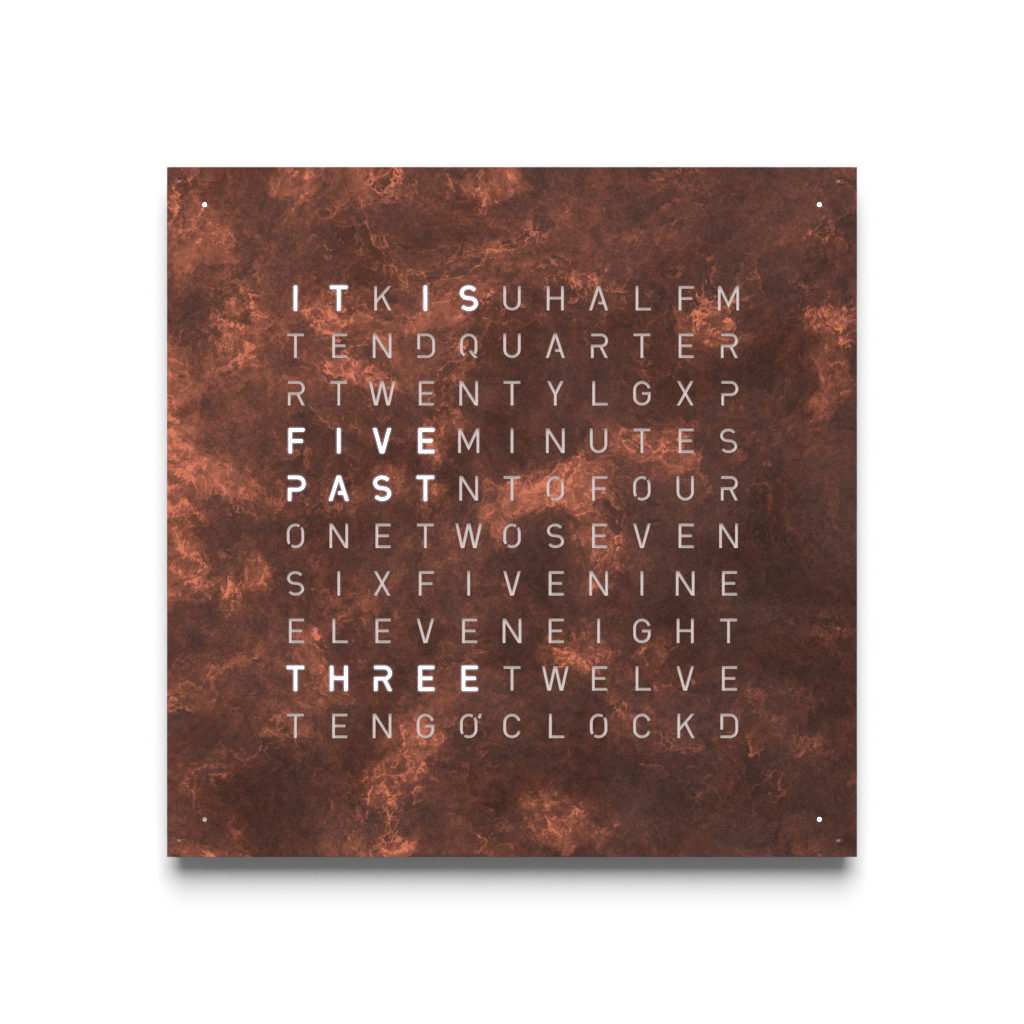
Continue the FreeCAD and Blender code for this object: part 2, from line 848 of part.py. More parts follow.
pieces = {
    "front_cover": front_cover(),
    "locating_studs": locating_studs(),
    "side_frame": side_frame(),
    "cover_magnets": cover_magnets(),
    "rear_panel": rear_panel(),
    "wall_pads": wall_pads(),
    "lamp_board": lamp_board(),
    "letter_lamps": letter_lamps(),
    "minute_lamps": minute_lamps(),
    "light_grid": light_grid(),
    "opal_sheet": opal_sheet(),
    "light_wells": light_wells(),
    "minute_lenses": minute_lenses(),
    "control_board": control_board(),
    "microcontroller": microcontroller(),
    "lamp_drivers": lamp_drivers(),
    "backup_cell": backup_cell(),
    "backup_cell_clip": backup_cell_clip(),
    "supply_socket": supply_socket(),
    "ribbon_cable": ribbon_cable(),
    "ribbon_sockets": ribbon_sockets(),
    "button_switches": button_switches(),
    "light_sensor": light_sensor(),
    "sensor_window": sensor_window(),
}
for name, place in zip(("mode", "hour", "minute", "brightness"), button_places()):
    pieces[name + "_button"] = button(place)
    pieces[name + "_plunger"] = switch_plunger(place)

for node, shape in pieces.items():
    shape.exportStep(f"parts/{node}.step")
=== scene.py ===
"""Surfaces and fine parts of a square word clock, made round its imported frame."""

import math

import bpy
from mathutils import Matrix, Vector


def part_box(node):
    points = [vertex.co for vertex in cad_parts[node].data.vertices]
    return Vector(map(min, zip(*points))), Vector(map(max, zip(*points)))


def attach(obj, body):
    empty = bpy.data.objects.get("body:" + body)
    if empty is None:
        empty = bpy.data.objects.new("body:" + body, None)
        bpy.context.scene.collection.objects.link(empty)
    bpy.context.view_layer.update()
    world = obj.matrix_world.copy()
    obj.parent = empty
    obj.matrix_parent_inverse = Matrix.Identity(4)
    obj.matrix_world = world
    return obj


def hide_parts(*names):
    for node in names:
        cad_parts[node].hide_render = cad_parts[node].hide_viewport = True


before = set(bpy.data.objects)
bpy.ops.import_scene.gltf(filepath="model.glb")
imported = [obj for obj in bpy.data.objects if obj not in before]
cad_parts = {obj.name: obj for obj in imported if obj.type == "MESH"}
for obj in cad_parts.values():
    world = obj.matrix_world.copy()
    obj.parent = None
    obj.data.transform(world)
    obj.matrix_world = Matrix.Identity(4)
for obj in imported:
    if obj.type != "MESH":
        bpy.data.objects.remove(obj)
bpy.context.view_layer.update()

# ---------------------------------------------------------------- camera, wall and light
# The clock hangs on a plain white wall.  The wall has an opening behind the clock and is not seen
# from behind, so that the back of the clock can be looked at too.
mm = 0.001
cover_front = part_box("front_cover")[0].y
view_width = 667.8 * mm  # width of the view in the plane of the cover's face
lens, film_width = 100.0, 36.0
camera_data = bpy.data.cameras.new("portrait_camera")
camera_data.lens = lens
camera_data.sensor_width = film_width
camera = bpy.data.objects.new("portrait_camera", camera_data)
camera.location = (0, cover_front - view_width * lens / film_width, 0)
camera.rotation_euler = (math.radians(90), 0, 0)
bpy.context.scene.collection.objects.link(camera)
bpy.context.scene.camera = camera
bpy.context.scene.view_settings.view_transform = "Standard"


def clear_bench():
    """Object mode with nothing selected, so that the next primitive is selected alone."""
    if bpy.context.object and bpy.context.object.mode == "EDIT":
        bpy.ops.object.mode_set(mode="OBJECT")
    bpy.ops.object.select_all(action="DESELECT")


def only(*pieces):
    """Selects these objects and nothing else; the first is the active one."""
    clear_bench()
    for piece in pieces:
        piece.select_set(True)
    bpy.context.view_layer.objects.active = pieces[0]


def made(name):
    """The object that an operator has just made, named, with its place in its mesh."""
    piece = bpy.context.object
    piece.name = piece.data.name = name
    bpy.ops.object.transform_apply(location=True, rotation=True, scale=True)
    return piece


def edit(piece, kind, chosen):
    """Edit mode with the faces or edges selected whose middle passes the test."""
    only(piece)
    bpy.ops.object.mode_set(mode="EDIT")
    bpy.ops.mesh.select_mode(type=kind)
    bpy.ops.mesh.select_all(action="DESELECT")
    bpy.ops.object.mode_set(mode="OBJECT")
    mesh = piece.data
    for part in mesh.polygons if kind == "FACE" else mesh.edges:
        corners = [mesh.vertices[v].co for v in part.vertices]
        part.select = bool(chosen(sum(corners[1:], corners[0].copy()) / len(corners)))
    bpy.ops.object.mode_set(mode="EDIT")


class Finish:
    """A node material, built one node at a time."""

    def __init__(self, name, **shader):
        self.material = bpy.data.materials.new(name)
        self.material.use_nodes = True
        self.nodes = self.material.node_tree.nodes
        self.shader = self.nodes["Principled BSDF"]
        self.output = self.nodes["Material Output"]
        self.place = self.nodes.new("ShaderNodeTexCoord").outputs["Object"]
        for socket, value in shader.items():
            self.join(value, self.shader.inputs[socket.replace("_", " ")])

    def join(self, value, socket):
        if isinstance(value, bpy.types.NodeSocket):
            self.material.node_tree.links.new(value, socket)
        else:
            socket.default_value = value

    def add(self, kind, *values, out=0, **settings):
        """Adds a node and returns one output; values go to its inputs in order, None is passed over."""
        node = self.nodes.new("ShaderNode" + kind)
        for name, value in settings.items():
            setattr(node, name, value)
        for socket, value in zip([s for s in node.inputs if s.enabled], values):
            if value is not None:
                self.join(value, socket)
        return node.outputs[out]

    def colour(self, value):
        self.join(value, self.shader.inputs["Base Color"])

    def roughness(self, value):
        self.join(value, self.shader.inputs["Roughness"])

    def metallic(self, value):
        self.join(value, self.shader.inputs["Metallic"])

    def noise(self, place, scale, detail=2.0, roughness=0.5, out=0):
        return self.add("TexNoise", place, scale, detail, roughness, out=out)

    def sums(self, operation, *values):
        return self.add("Math", *values, operation=operation)

    def vector(self, operation, *values, out=0):
        return self.add("VectorMath", *values, operation=operation, out=out)

    def stretched(self, scale, turn=None):
        """The place on the piece, scaled along X, Y and Z after a turn."""
        return self.add("Mapping", self.place, None, turn, scale)

    def patch(self, middle, reach, place=None, turn=None):
        """Places counted from a middle, with each reach as 1."""
        place = self.place if place is None else place
        return self.add("Mapping", place, middle, turn, reach, vector_type="TEXTURE")

    def axes(self, vector):
        """The X, Y and Z outputs of a vector."""
        node = self.nodes.new("ShaderNodeSeparateXYZ")
        self.join(vector, node.inputs[0])
        return node.outputs[:]

    def between(self, value, low, high, to_low=0.0, to_high=1.0):
        """Smooth step from one value to another."""
        return self.add("MapRange", value, low, high, to_low, to_high, interpolation_type="SMOOTHSTEP")

    def blend(self, share, first, second, mode="MIX"):
        return self.add("MixRGB", share, first, second, blend_type=mode)

    def ramp(self, value, *stops):
        """Colour ramp through (place, colour) stops."""
        node = self.nodes.new("ShaderNodeValToRGB")
        elements = node.color_ramp.elements
        while len(elements) < len(stops):
            elements.new(0.5)
        for element, (place, colour) in zip(elements, stops):
            element.position = place
            element.color = colour
        self.join(value, node.inputs[0])
        return node.outputs[0]

    def bump(self, height, distance, strength=1.0):
        node = self.nodes.new("ShaderNodeBump")
        node.inputs["Strength"].default_value = strength
        node.inputs["Distance"].default_value = distance
        self.join(height, node.inputs["Height"])
        self.join(node.outputs[0], self.shader.inputs["Normal"])


def shade(red, green, blue):
    """A colour given as screen values from 0 to 255."""
    screen = (red / 255, green / 255, blue / 255)
    linear = [c / 12.92 if c <= 0.04045 else ((c + 0.055) / 1.055) ** 2.4 for c in screen]
    return (*linear, 1.0)


wall_reach, wall_opening = 3.0, 0.205  # half the width of the wall and of its opening
clear_bench()
bpy.ops.mesh.primitive_plane_add(size=2 * wall_reach, rotation=(math.radians(90), 0, 0))
wall = made("wall")
edit(wall, "FACE", lambda middle: True)
bpy.ops.mesh.inset(thickness=wall_reach - wall_opening, depth=0)
bpy.ops.mesh.delete(type="FACE")
bpy.ops.object.mode_set(mode="OBJECT")
plaster = Finish("white_wall", Roughness=1.0, Specular_IOR_Level=0.0)
plaster.colour(plaster.blend(plaster.noise(plaster.place, 40.0, 3.0), (1, 1, 1, 1), (0.995, 0.995, 0.995, 1)))
from_behind = plaster.add("NewGeometry", out=6)
to_a_light = plaster.add("LightPath", out=1)
unseen = plaster.sums("MAXIMUM", from_behind, to_a_light)
clear = plaster.add("BsdfTransparent")
plaster.join(plaster.add("MixShader", unseen, plaster.shader.outputs[0], clear), plaster.output.inputs[0])
wall.data.materials.append(plaster.material)

# One broad light falls on the front from above, and a weaker one on the back.
for name, energy, tilt in (("front_window", 3.68, 45), ("rear_window", 1.6, -45)):
    window = bpy.data.lights.new(name, "SUN")
    window.angle = math.radians(41)
    window.energy = energy
    window_stand = bpy.data.objects.new(name, window)
    window_stand.rotation_euler = (math.radians(tilt), 0, 0)
    bpy.context.scene.collection.objects.link(window_stand)

# The room adds a little light, and is plain white where it is seen or mirrored.
room = bpy.context.scene.world or bpy.data.worlds.new("room")
bpy.context.scene.world = room
room.use_nodes = True
sky = room.node_tree
for node in list(sky.nodes):
    sky.nodes.remove(node)
dim, bright = sky.nodes.new("ShaderNodeBackground"), sky.nodes.new("ShaderNodeBackground")
dim.inputs[0].default_value = bright.inputs[0].default_value = (1, 1, 1, 1)
dim.inputs[1].default_value = 0.2
ray = sky.nodes.new("ShaderNodeLightPath")
direct = sky.nodes.new("ShaderNodeMath")
direct.operation = "MAXIMUM"
mirrored = sky.nodes.new("ShaderNodeMath")
mirrored.operation = "MAXIMUM"
seen = sky.nodes.new("ShaderNodeMixShader")
for output, socket in (
    (ray.outputs["Is Glossy Ray"], mirrored.inputs[0]),
    (ray.outputs["Is Transmission Ray"], mirrored.inputs[1]),
    (ray.outputs["Is Camera Ray"], direct.inputs[0]),
    (mirrored.outputs[0], direct.inputs[1]),
    (direct.outputs[0], seen.inputs[0]),
    (dim.outputs[0], seen.inputs[1]),
    (bright.outputs[0], seen.inputs[2]),
    (seen.outputs[0], sky.nodes.new("ShaderNodeOutputWorld").inputs[0]),
):
    sky.links.new(output, socket)

# ---------------------------------------------------------------- front cover
# One sheet of 1.5 mm steel.  The letters and the corner dots are cut through it by laser, with a
# bridge left wherever a letter would drop out, and the face is then given a chemical patina.
cover_low, cover_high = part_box("front_cover")
cover_half = cover_high.x
column_pitch, row_pitch = 28.25, 31.0
columns, rows = 11, 10
cap, stroke = 16.0, 1.8  # height of the letters and width of the cut
low, high = stroke / 2, cap - stroke / 2
round_half = 4.78  # half the width of the round letters, to the middle of the cut


def bend(x, z, across, up, first, last):
    """Points round a corner, between two angles counted from the viewer's right."""
    steps = max(2, round(abs(last - first) / 12))
    turns = [math.radians(first + (last - first) * step / steps) for step in range(steps + 1)]
    return [(x + across * math.cos(turn), z + up * math.sin(turn)) for turn in turns]


def leg(foot, head):
    """A straight stroke from the base line to the top line."""
    return [(foot, 0), (head, cap)]


def outline(points):
    """The edge of a cut along these points: square at a free end, level on the base and top lines."""
    points = [Vector(point) for point in points]
    runs = [(b - a).normalized() for a, b in zip(points, points[1:])]
    sides = [], []
    for point, before, after in zip(points, runs[:1] + runs, runs + runs[-1:]):
        along = (before + after).normalized()
        reach = stroke / 2 / along.dot(after)
        for side, turn in zip(sides, (1, -1)):
            corner = point + Vector((-along.y, along.x)) * reach * turn
            if before is after and point.y in (0, cap) and along.y:
                corner += along * (point.y - corner.y) / along.y
            side.append(corner)
    return sides[0] + sides[1][::-1]


upper, lower = high - round_half, low + round_half  # centres of the round ends


def top(first, last):
    return bend(0, upper, round_half, round_half, first, last)


def bottom(first, last):
    return bend(0, lower, round_half, round_half, first, last)


letters = {
    "A": [leg(-5.35, -0.15), leg(5.35, 0.15), [(-0.2, 4.9), (3.9, 4.9)]],
    "C": [top(12, 180) + bottom(180, 348)],
    "D": [[(-4.4, 5.6), (-4.4, high), (0.9, high)] + bend(0.9, high - 4.5, 4.5, 4.5, 84, 0)
          + bend(0.9, low + 4.5, 4.5, 4.5, 0, -90) + [(-5.3, low)]],
    "E": [[(5.6, high), (-3.4, high), (-3.4, low), (5.6, low)], [(-3.4, 8.0), (4.4, 8.0)]],
    "F": [[(5.7, high), (-3.4, high), (-3.4, 0)], [(-3.4, 7.8), (4.6, 7.8)]],
    "G": [top(12, 180) + bottom(180, 360) + [(round_half, 7.9), (0, 7.9)]],
    "H": [leg(-4.65, -4.65), leg(4.65, 4.65), [(-4.65, 8.1), (4.65, 8.1)]],
    "I": [leg(0, 0)],
    "K": [leg(-4.2, -4.2), [(-4.2, 5.4), (5.0, cap)], [(0.2, 9.9), (5.2, 0)]],
    "L": [[(-3.2, cap), (-3.2, low), (5.9, low)]],
    "M": [leg(-6.0, -6.0), leg(6.0, 6.0), [(-5.9, cap), (0, 3.6), (5.9, cap)]],
    "N": [leg(-5.2, -5.2), leg(5.2, 5.2), leg(5.1, -5.1)],
    "O": [top(56, 180) + bottom(180, 216), bottom(236, 360) + top(0, 40)],
    "P": [[(-3.8, 0), (-3.8, 7.1), (1.5, 7.1)] + bend(1.5, (7.1 + high) / 2, 4.0, (high - 7.1) / 2, -84, 90)
          + [(-4.7, high)]],
    "Q": [bottom(238, 180) + top(180, 0) + bottom(360, 325), [(0.7, 4.8), (5.0, 0)]],
    "R": [[(-4.1, 0), (-4.1, 7.8), (1.6, 7.8)] + bend(1.6, (7.8 + high) / 2, 3.65, (high - 7.8) / 2, -84, 90)
          + [(-4.9, high)], [(1.3, 7.8), (5.2, 0)]],
    "S": [bend(-0.1, 11.5, 4.5, high - 11.5, 30, 245) + bend(0.1, 4.5, 4.7, 4.5 - low, 65, -148)],
    "T": [[(-5.5, high), (5.5, high)], leg(0, 0)],
    "U": [[(-4.75, cap)] + bend(0, low + 4.75, 4.75, 4.75, 180, 360) + [(4.75, cap)]],
    "V": [leg(-0.25, -4.75), leg(0.25, 4.75)],
    "W": [leg(-4.2, -7.75), leg(-3.8, -0.25), leg(3.8, 0.25), leg(4.2, 7.75)],
    "X": [leg(-4.6, 4.4), leg(4.6, -4.4)],
    "Y": [[(-4.4, cap), (0, 7.4), (4.4, cap)], [(0, 0), (0, 7.4)]],
    "'": [[(7.7, cap), (6.7, 13.0)]],
}
field = (
    "ITKISUHALFM",
    "TENDQUARTER",
    "RTWENTYLGXP",
    "FIVEMINUTES",
    "PASTNTOFOUR",
    "ONETWOSEVEN",
    "SIXFIVENINE",
    "ELEVENEIGHT",
    "THREETWELVE",
    "TENGOCLOCKD",
)
apostrophe_cell = (5, 10)
# First and last column, first and last row of each lit block of cells.
lit_words = ((1, 2, 1, 1), (4, 5, 1, 1), (1, 4, 4, 5), (1, 5, 9, 9))

drawing = bpy.data.curves.new("letter_cutter", "CURVE")
for row, word in enumerate(field, 1):
    base_line = ((rows + 1) / 2 - row) * row_pitch - cap / 2
    for column, letter in enumerate(word, 1):
        centre = (column - (columns + 1) / 2) * column_pitch
        strokes = letters[letter] + (letters["'"] if (column, row) == apostrophe_cell else [])
        for points in strokes:
            corners = outline(points)
            spline = drawing.splines.new("POLY")
            spline.points.add(len(corners) - 1)
            spline.use_cyclic_u = True
            for point, (x, z) in zip(spline.points, corners):
                point.co = ((centre + x) * mm, (base_line + z) * mm, 0, 1)
cutter = bpy.data.objects.new("letter_cutter", drawing)
bpy.context.scene.collection.objects.link(cutter)
only(cutter)
bpy.ops.object.convert(target="MESH")
cut_margin, cut_through = 2 * mm, 6 * mm
cutter.location.y = cover_front - cut_margin
cutter.rotation_euler.x = math.radians(90)
cutter = made("letter_cutter")
edit(cutter, "EDGE", lambda middle: True)
bpy.ops.mesh.edge_face_add()
bpy.ops.mesh.select_all(action="SELECT")
bpy.ops.mesh.extrude_region_move(TRANSFORM_OT_translate={"value": (0, cut_through, 0)})
bpy.ops.mesh.select_all(action="SELECT")
bpy.ops.mesh.normals_make_consistent(inside=False)
bpy.ops.object.mode_set(mode="OBJECT")

# The weld of each locating stud shows on the face as a low dome in a shallow ring.
dot_place, dot_radius = cover_half - 24.5 * mm, 1.5 * mm
mark_radius, mark_depth, tool_depth = 3.0 * mm, 0.5 * mm, 2 * mm
stud_radius = 1.5 * mm
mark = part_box("locating_studs")[1].x - stud_radius
for x in (-1, 1):
    for z in (-1, 1):
        clear_bench()
        bpy.ops.mesh.primitive_cylinder_add(
            vertices=32, radius=dot_radius, depth=cut_through, rotation=(math.radians(90), 0, 0),
            location=(x * dot_place, cover_front, z * dot_place))
        dot_cutter = made("dot_cutter")
        clear_bench()
        bpy.ops.mesh.primitive_cylinder_add(
            vertices=32, radius=mark_radius, depth=tool_depth, rotation=(math.radians(90), 0, 0),
            location=(x * mark, cover_front - tool_depth / 2 + mark_depth, z * mark))
        mark_cutter = made("mark_cutter")
        edit(mark_cutter, "FACE", lambda middle: middle.y > cover_front + mark_depth / 2)
        bpy.ops.mesh.inset(thickness=0.5 * mm)
        bpy.ops.mesh.inset(thickness=0.6 * mm, depth=-0.7 * mark_depth)
        bpy.ops.mesh.inset(thickness=0.7 * mm, depth=-0.2 * mark_depth)
        only(cutter, dot_cutter, mark_cutter)
        bpy.ops.object.join()


def modify(piece, kind, **settings):
    """Adds a modifier and applies it."""
    only(piece)
    bpy.ops.object.modifier_add(type=kind)
    modifier = piece.modifiers[-1]
    for name, value in settings.items():
        setattr(modifier, name, value)
    bpy.ops.object.modifier_apply(modifier=modifier.name)


sheet, edge_bevel = cover_high.y - cover_low.y, 0.25 * mm
hair = 0.01 * mm  # near enough to count as the same place
bpy.ops.mesh.primitive_cube_add(
    size=1, location=(0, cover_front + sheet / 2, 0), scale=(2 * cover_half, sheet, 2 * cover_half))
cover = made("cover_sheet")
edit(cover, "EDGE", lambda middle: middle.y < cover_front + hair)
bpy.ops.mesh.bevel(offset=edge_bevel, segments=2, affect="EDGES")
bpy.ops.object.mode_set(mode="OBJECT")
modify(cover, "BOOLEAN", operation="DIFFERENCE", object=cutter, solver="EXACT", use_self=True)
bpy.data.objects.remove(cutter)
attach(cover, "cover")
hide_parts("front_cover")

patina = Finish("copper_brown_patina", Roughness=0.62, Specular_IOR_Level=0.05)
drift = patina.vector("SUBTRACT", patina.noise(patina.place, 8.0, 2.0, 0.5, out=1), (0.5, 0.5, 0.5))
drifted = patina.vector("MULTIPLY_ADD", drift, (0.06, 0.06, 0.06), patina.place)
curl = patina.vector("SUBTRACT", patina.noise(drifted, 45.0, 3.0, 0.6, out=1), (0.5, 0.5, 0.5))
curled = patina.vector("MULTIPLY_ADD", curl, (0.013, 0.013, 0.013), drifted)

# Soft patches where the patina runs lighter or darker: middle across and up, half width and half
# height (mm), turn (degrees), strength.
patches = (
    (-140, 222, 34, 22, 0, 0.30), (-20, 224, 30, 14, 0, 0.30), (-200, 190, 50, 60, 0, 0.10),
    (-178, 125, 24, 38, 0, 0.24), (-112, 130, 26, 22, 0, 0.36), (-72, 127, 24, 16, 0, 0.26),
    (-28, 137, 22, 22, 0, 0.24), (-226, 72, 26, 50, 0, 0.42), (-226, 15, 26, 50, 0, 0.42),
    (-190, 22, 34, 16, 0, 0.26), (-222, -38, 24, 24, 0, 0.40), (-105, 86, 44, 12, -18, 0.34),
    (-50, 44, 28, 18, 0, 0.26), (-55, 12, 22, 30, 0, 0.26), (-85, 14, 20, 20, 0, 0.18),
    (12, 12, 22, 22, 0, 0.38), (40, 16, 24, 26, 30, 0.40), (88, 44, 26, 16, 0, 0.42),
    (112, 44, 18, 26, 0, 0.36), (60, -26, 34, 26, -30, 0.26), (-5, -30, 18, 50, 0, 0.16),
    (-165, -36, 16, 18, 0, 0.30), (-192, -50, 18, 14, 30, 0.30), (-132, -88, 24, 60, 25, 0.20),
    (36, -88, 32, 22, 0, 0.40), (98, -92, 18, 22, 0, 0.20), (70, -130, 14, 30, 25, 0.18),
    (-64, -148, 32, 20, 0, 0.42), (-70, -178, 36, 24, 0, 0.20), (28, -198, 28, 26, 0, 0.36),
    (60, -214, 70, 20, 0, 0.22), (-188, -222, 26, 10, 0, 0.36), (-90, -222, 60, 12, 0, 0.18),
    (135, 126, 26, 30, 0, 0.22), (205, 121, 30, 12, 0, 0.42), (213, 88, 18, 40, 0, 0.22),
    (195, 55, 36, 30, 0, 0.12), (45, 150, 60, 16, 10, 0.14), (-28, 175, 22, 18, 0, 0.16),
    (-60, 190, 30, 24, 0, -0.22), (180, -15, 110, 60, 0, -0.26), (120, -60, 60, 40, 0, -0.16),
    (26, -30, 30, 30, 0, -0.34), (-12, -30, 22, 18, 0, -0.22), (110, -185, 100, 60, 0, -0.22),
    (-165, -185, 44, 30, 20, -0.22), (92, 0, 40, 40, 0, -0.20), (150, 100, 36, 24, 0, -0.16),
    (150, 160, 22, 50, 20, -0.22), (-130, 60, 40, 18, 0, -0.14), (-150, -60, 30, 40, 0, -0.12),
    (40, 90, 50, 40, 0, -0.10), (160, 200, 60, 30, 0, -0.10), (200, -200, 50, 40, 0, -0.08),
)
growth, any_depth = 0.0, 0.2
for x, z, across, up, turn, strength in patches:
    reach = (across * mm, any_depth, up * mm)
    near = patina.patch((x * mm, cover_front, z * mm), reach, drifted, (0, math.radians(-turn), 0))
    fade = patina.add("TexGradient", near, gradient_type="SPHERICAL", out=1)
    growth = patina.sums("MULTIPLY_ADD", fade, strength, growth)

# Level of the patina, from dark to bright copper: clouds and mottle lie over the whole sheet, the
# patches are broken up by mottle, flecks and coves, and flat islands stand where growth is strong.
clouds = patina.noise(curled, 12.0, 9.0, 0.57)
mottle = patina.noise(curled, 80.0, 7.0, 0.70)
stipple = patina.noise(patina.place, 420.0, 4.0, 0.75)
grain = patina.noise(patina.place, 1500.0, 1.0, 0.8)
slope = patina.vector("DOT_PRODUCT", patina.place, (-0.20, 0.0, 0.09), out=1)
flecks = patina.between(patina.noise(curled, 210.0, 6.0, 0.75), 0.40, 0.60, 0.45, 1.25)
shores = patina.noise(curled, 14.0, 8.0, 0.58)
coves = patina.noise(curled, 31.0, 7.0, 0.60)
broken = patina.sums("MULTIPLY", growth, patina.between(mottle, 0.38, 0.62, 0.22, 0.90))
broken = patina.sums("MULTIPLY", broken, flecks)
broken = patina.sums("MULTIPLY", broken, patina.between(coves, 0.450, 0.478, 0.72, 1.10))
level = patina.sums("MULTIPLY_ADD", clouds, 0.40, patina.sums("MULTIPLY_ADD", mottle, 0.56, broken))
islands = patina.sums("ADD", growth, patina.noise(curled, 22.0, 8.0, 0.55))
level = patina.sums("ADD", patina.sums("ADD", level, slope), patina.between(islands, 0.60, 0.625, 0.0, 0.12))

# Patches end in crisp shores, and bright copper runs along parts of them.
spread = patina.sums("ADD", broken, patina.noise(drifted, 19.0, 4.0, 0.6))
for sea, shore, lift, glow in (
    (shores, 0.44, 0.05, 0.32), (shores, 0.535, 0.06, 0.52),
    (coves, 0.56, 0.04, 0.38), (coves, 0.465, 0.03, 0.30),
):
    bank = patina.between(sea, shore, shore + 0.006)
    rim = patina.sums("MULTIPLY", bank, patina.between(sea, shore + 0.028, shore + 0.003))
    rim = patina.sums("MULTIPLY", rim, patina.between(spread, 0.45, 0.68))
    rim = patina.sums("MULTIPLY", rim, flecks)
    level = patina.sums("MULTIPLY_ADD", bank, lift, patina.sums("MULTIPLY_ADD", rim, glow, level))

# A warm crust sits on the bright parts, and a fine grain lies over all of it.
crust = patina.sums("MULTIPLY", patina.sums("ADD", stipple, level), 0.8)
crust = patina.between(crust, 0.90, 1.20)
warmth = patina.sums("MULTIPLY_ADD", crust, 0.16, level)
fine = patina.sums("MULTIPLY_ADD", stipple, 0.50, patina.sums("MULTIPLY", grain, 0.84))
tone = patina.ramp(
    patina.sums("MULTIPLY_ADD", patina.sums("ADD", warmth, fine), 0.80, -0.649),
    (0.06, shade(44, 30, 25)), (0.20, shade(65, 41, 35)), (0.34, shade(91, 54, 45)),
    (0.48, shade(117, 69, 56)), (0.62, shade(138, 82, 66)), (0.80, shade(159, 94, 76)),
    (1.00, shade(214, 122, 95)))

# The dark parts drift between warm and blue, and coloured specks cover the sheet.
dusk = patina.between(patina.noise(drifted, 13.0, 7.0, 0.65), 0.34, 0.60)
dusk = patina.sums("MULTIPLY", dusk, patina.between(level, 0.50, 0.80, 1.0, 0.15))
tinge = patina.blend(dusk, (1.04, 0.98, 0.91, 1), (0.90, 1.09, 1.21, 1))
tone = patina.blend(1.0, tone, tinge, mode="MULTIPLY")
speckle = patina.noise(patina.place, 950.0, 2.0, 0.7, out=1)
speckle = patina.vector("MULTIPLY_ADD", speckle, (0.5, 0.4, 0.6), (0.75, 0.8, 0.7))
tone = patina.blend(1.0, tone, speckle, mode="MULTIPLY")

# A painted highlight: a pale pink spot on the upper left of the weld mark of each stud.
painted_glints = 0.0
for x in (-1, 1):
    for z in (-1, 1):
        glint_middle = (x * mark - 2.2 * mm, cover_front, z * mark + 0.7 * mm)
        near = patina.patch(glint_middle, (2.1 * mm, any_depth, 1.7 * mm))
        fade = patina.add("TexGradient", near, gradient_type="SPHERICAL", out=1)
        painted_glints = patina.sums("ADD", painted_glints, fade)
# The painted highlight is mixed over the patina here.
tone = patina.blend(patina.between(painted_glints, 0.15, 0.65, 0.0, 0.75), tone, shade(176, 138, 132))
patina.colour(tone)
patina.bump(patina.sums("MULTIPLY_ADD", grain, 0.5, mottle), 0.0004, 0.3)


def lit_cells(finish):
    """1 over the cells of the lit words, 0 elsewhere."""
    lit = 0.0
    for first_column, last_column, first_row, last_row in lit_words:
        middle = ((first_column + last_column) / 2 - (columns + 1) / 2) * column_pitch * mm
        height = ((rows + 1) / 2 - (first_row + last_row) / 2) * row_pitch * mm
        half_width = (last_column - first_column + 1) / 2 * column_pitch * mm
        half_height = (last_row - first_row + 1) / 2 * row_pitch * mm
        near = finish.patch((middle, 0, height), (half_width, 10, half_height))
        across, _, up = finish.axes(finish.vector("ABSOLUTE", near))
        lit = finish.sums("ADD", lit, finish.sums("LESS_THAN", finish.sums("MAXIMUM", across, up), 1.0))
    return lit


# A painted glow: the steel round the cut of each lit letter emits light of its own, fading within a
# millimetre and a half of the edge.
# It is gone once the sheet has been lifted off the lamps.
painted_glow_reach, lifted_clear = 1.45 * mm, 6 * mm
clear_of_cuts = patina.add(
    "AmbientOcclusion", None, painted_glow_reach, out=1, samples=4, inside=True, only_local=True)
painted_spill_glow = patina.sums("MULTIPLY", patina.sums("SUBTRACT", 1.0, clear_of_cuts), lit_cells(patina))
lifted = patina.vector("DISTANCE", patina.add("NewGeometry"), patina.place, out=1)
painted_spill_glow = patina.sums("MULTIPLY", painted_spill_glow, patina.between(lifted, 0.0, lifted_clear, 1.0, 0.0))
# The painted glow goes into the steel's emission.
patina.join(painted_spill_glow, patina.shader.inputs["Emission Strength"])
patina.shader.inputs["Emission Color"].default_value = shade(228, 232, 255)
cover.data.materials.append(patina.material)

bare = Finish("cut_steel", Metallic=1.0)
streaks = bare.noise(bare.stretched((1, 1, 0.04)), 900.0, 4.0, 0.7)
bare.colour(bare.ramp(streaks, (0.3, shade(118, 116, 114)), (0.7, shade(158, 156, 152))))
bare.roughness(bare.between(bare.noise(bare.place, 30.0, 5.0), 0.3, 0.7, 0.32, 0.5))
bare.bump(streaks, 0.00001, 0.5)
cover.data.materials.append(bare.material)


def in_cut_or_behind(middle):
    """Clear of the outer edges, and deeper than the face and the weld marks."""
    off_edge = max(abs(middle.x), abs(middle.z)) < cover_half - 5 * mm
    return off_edge and middle.y > cover_front + mark_depth + hair


edit(cover, "FACE", in_cut_or_behind)
cover.active_material_index = 1
bpy.ops.object.material_slot_assign()
bpy.ops.object.mode_set(mode="OBJECT")

# ---------------------------------------------------------------- opal sheet and minute lenses
# The opal sheet is one plate of white acrylic that lies in the light grid behind all the letters.
# Four small plates of the same acrylic close the corner light wells.  A lit cell is even behind its
# letter and dims towards the walls of the grid.
# Dark cells get a faint painted glow. It stands for stray light and lightens the shade inside the letter
# cuts.
glow_strength, painted_rest_glow = 2.5, 0.323  # of a lit cell, and of the stray light in a dark one


def dress(finish, *nodes):
    """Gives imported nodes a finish."""
    for node in nodes:
        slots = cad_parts[node].data.materials
        slots.clear()
        slots.append(finish.material)


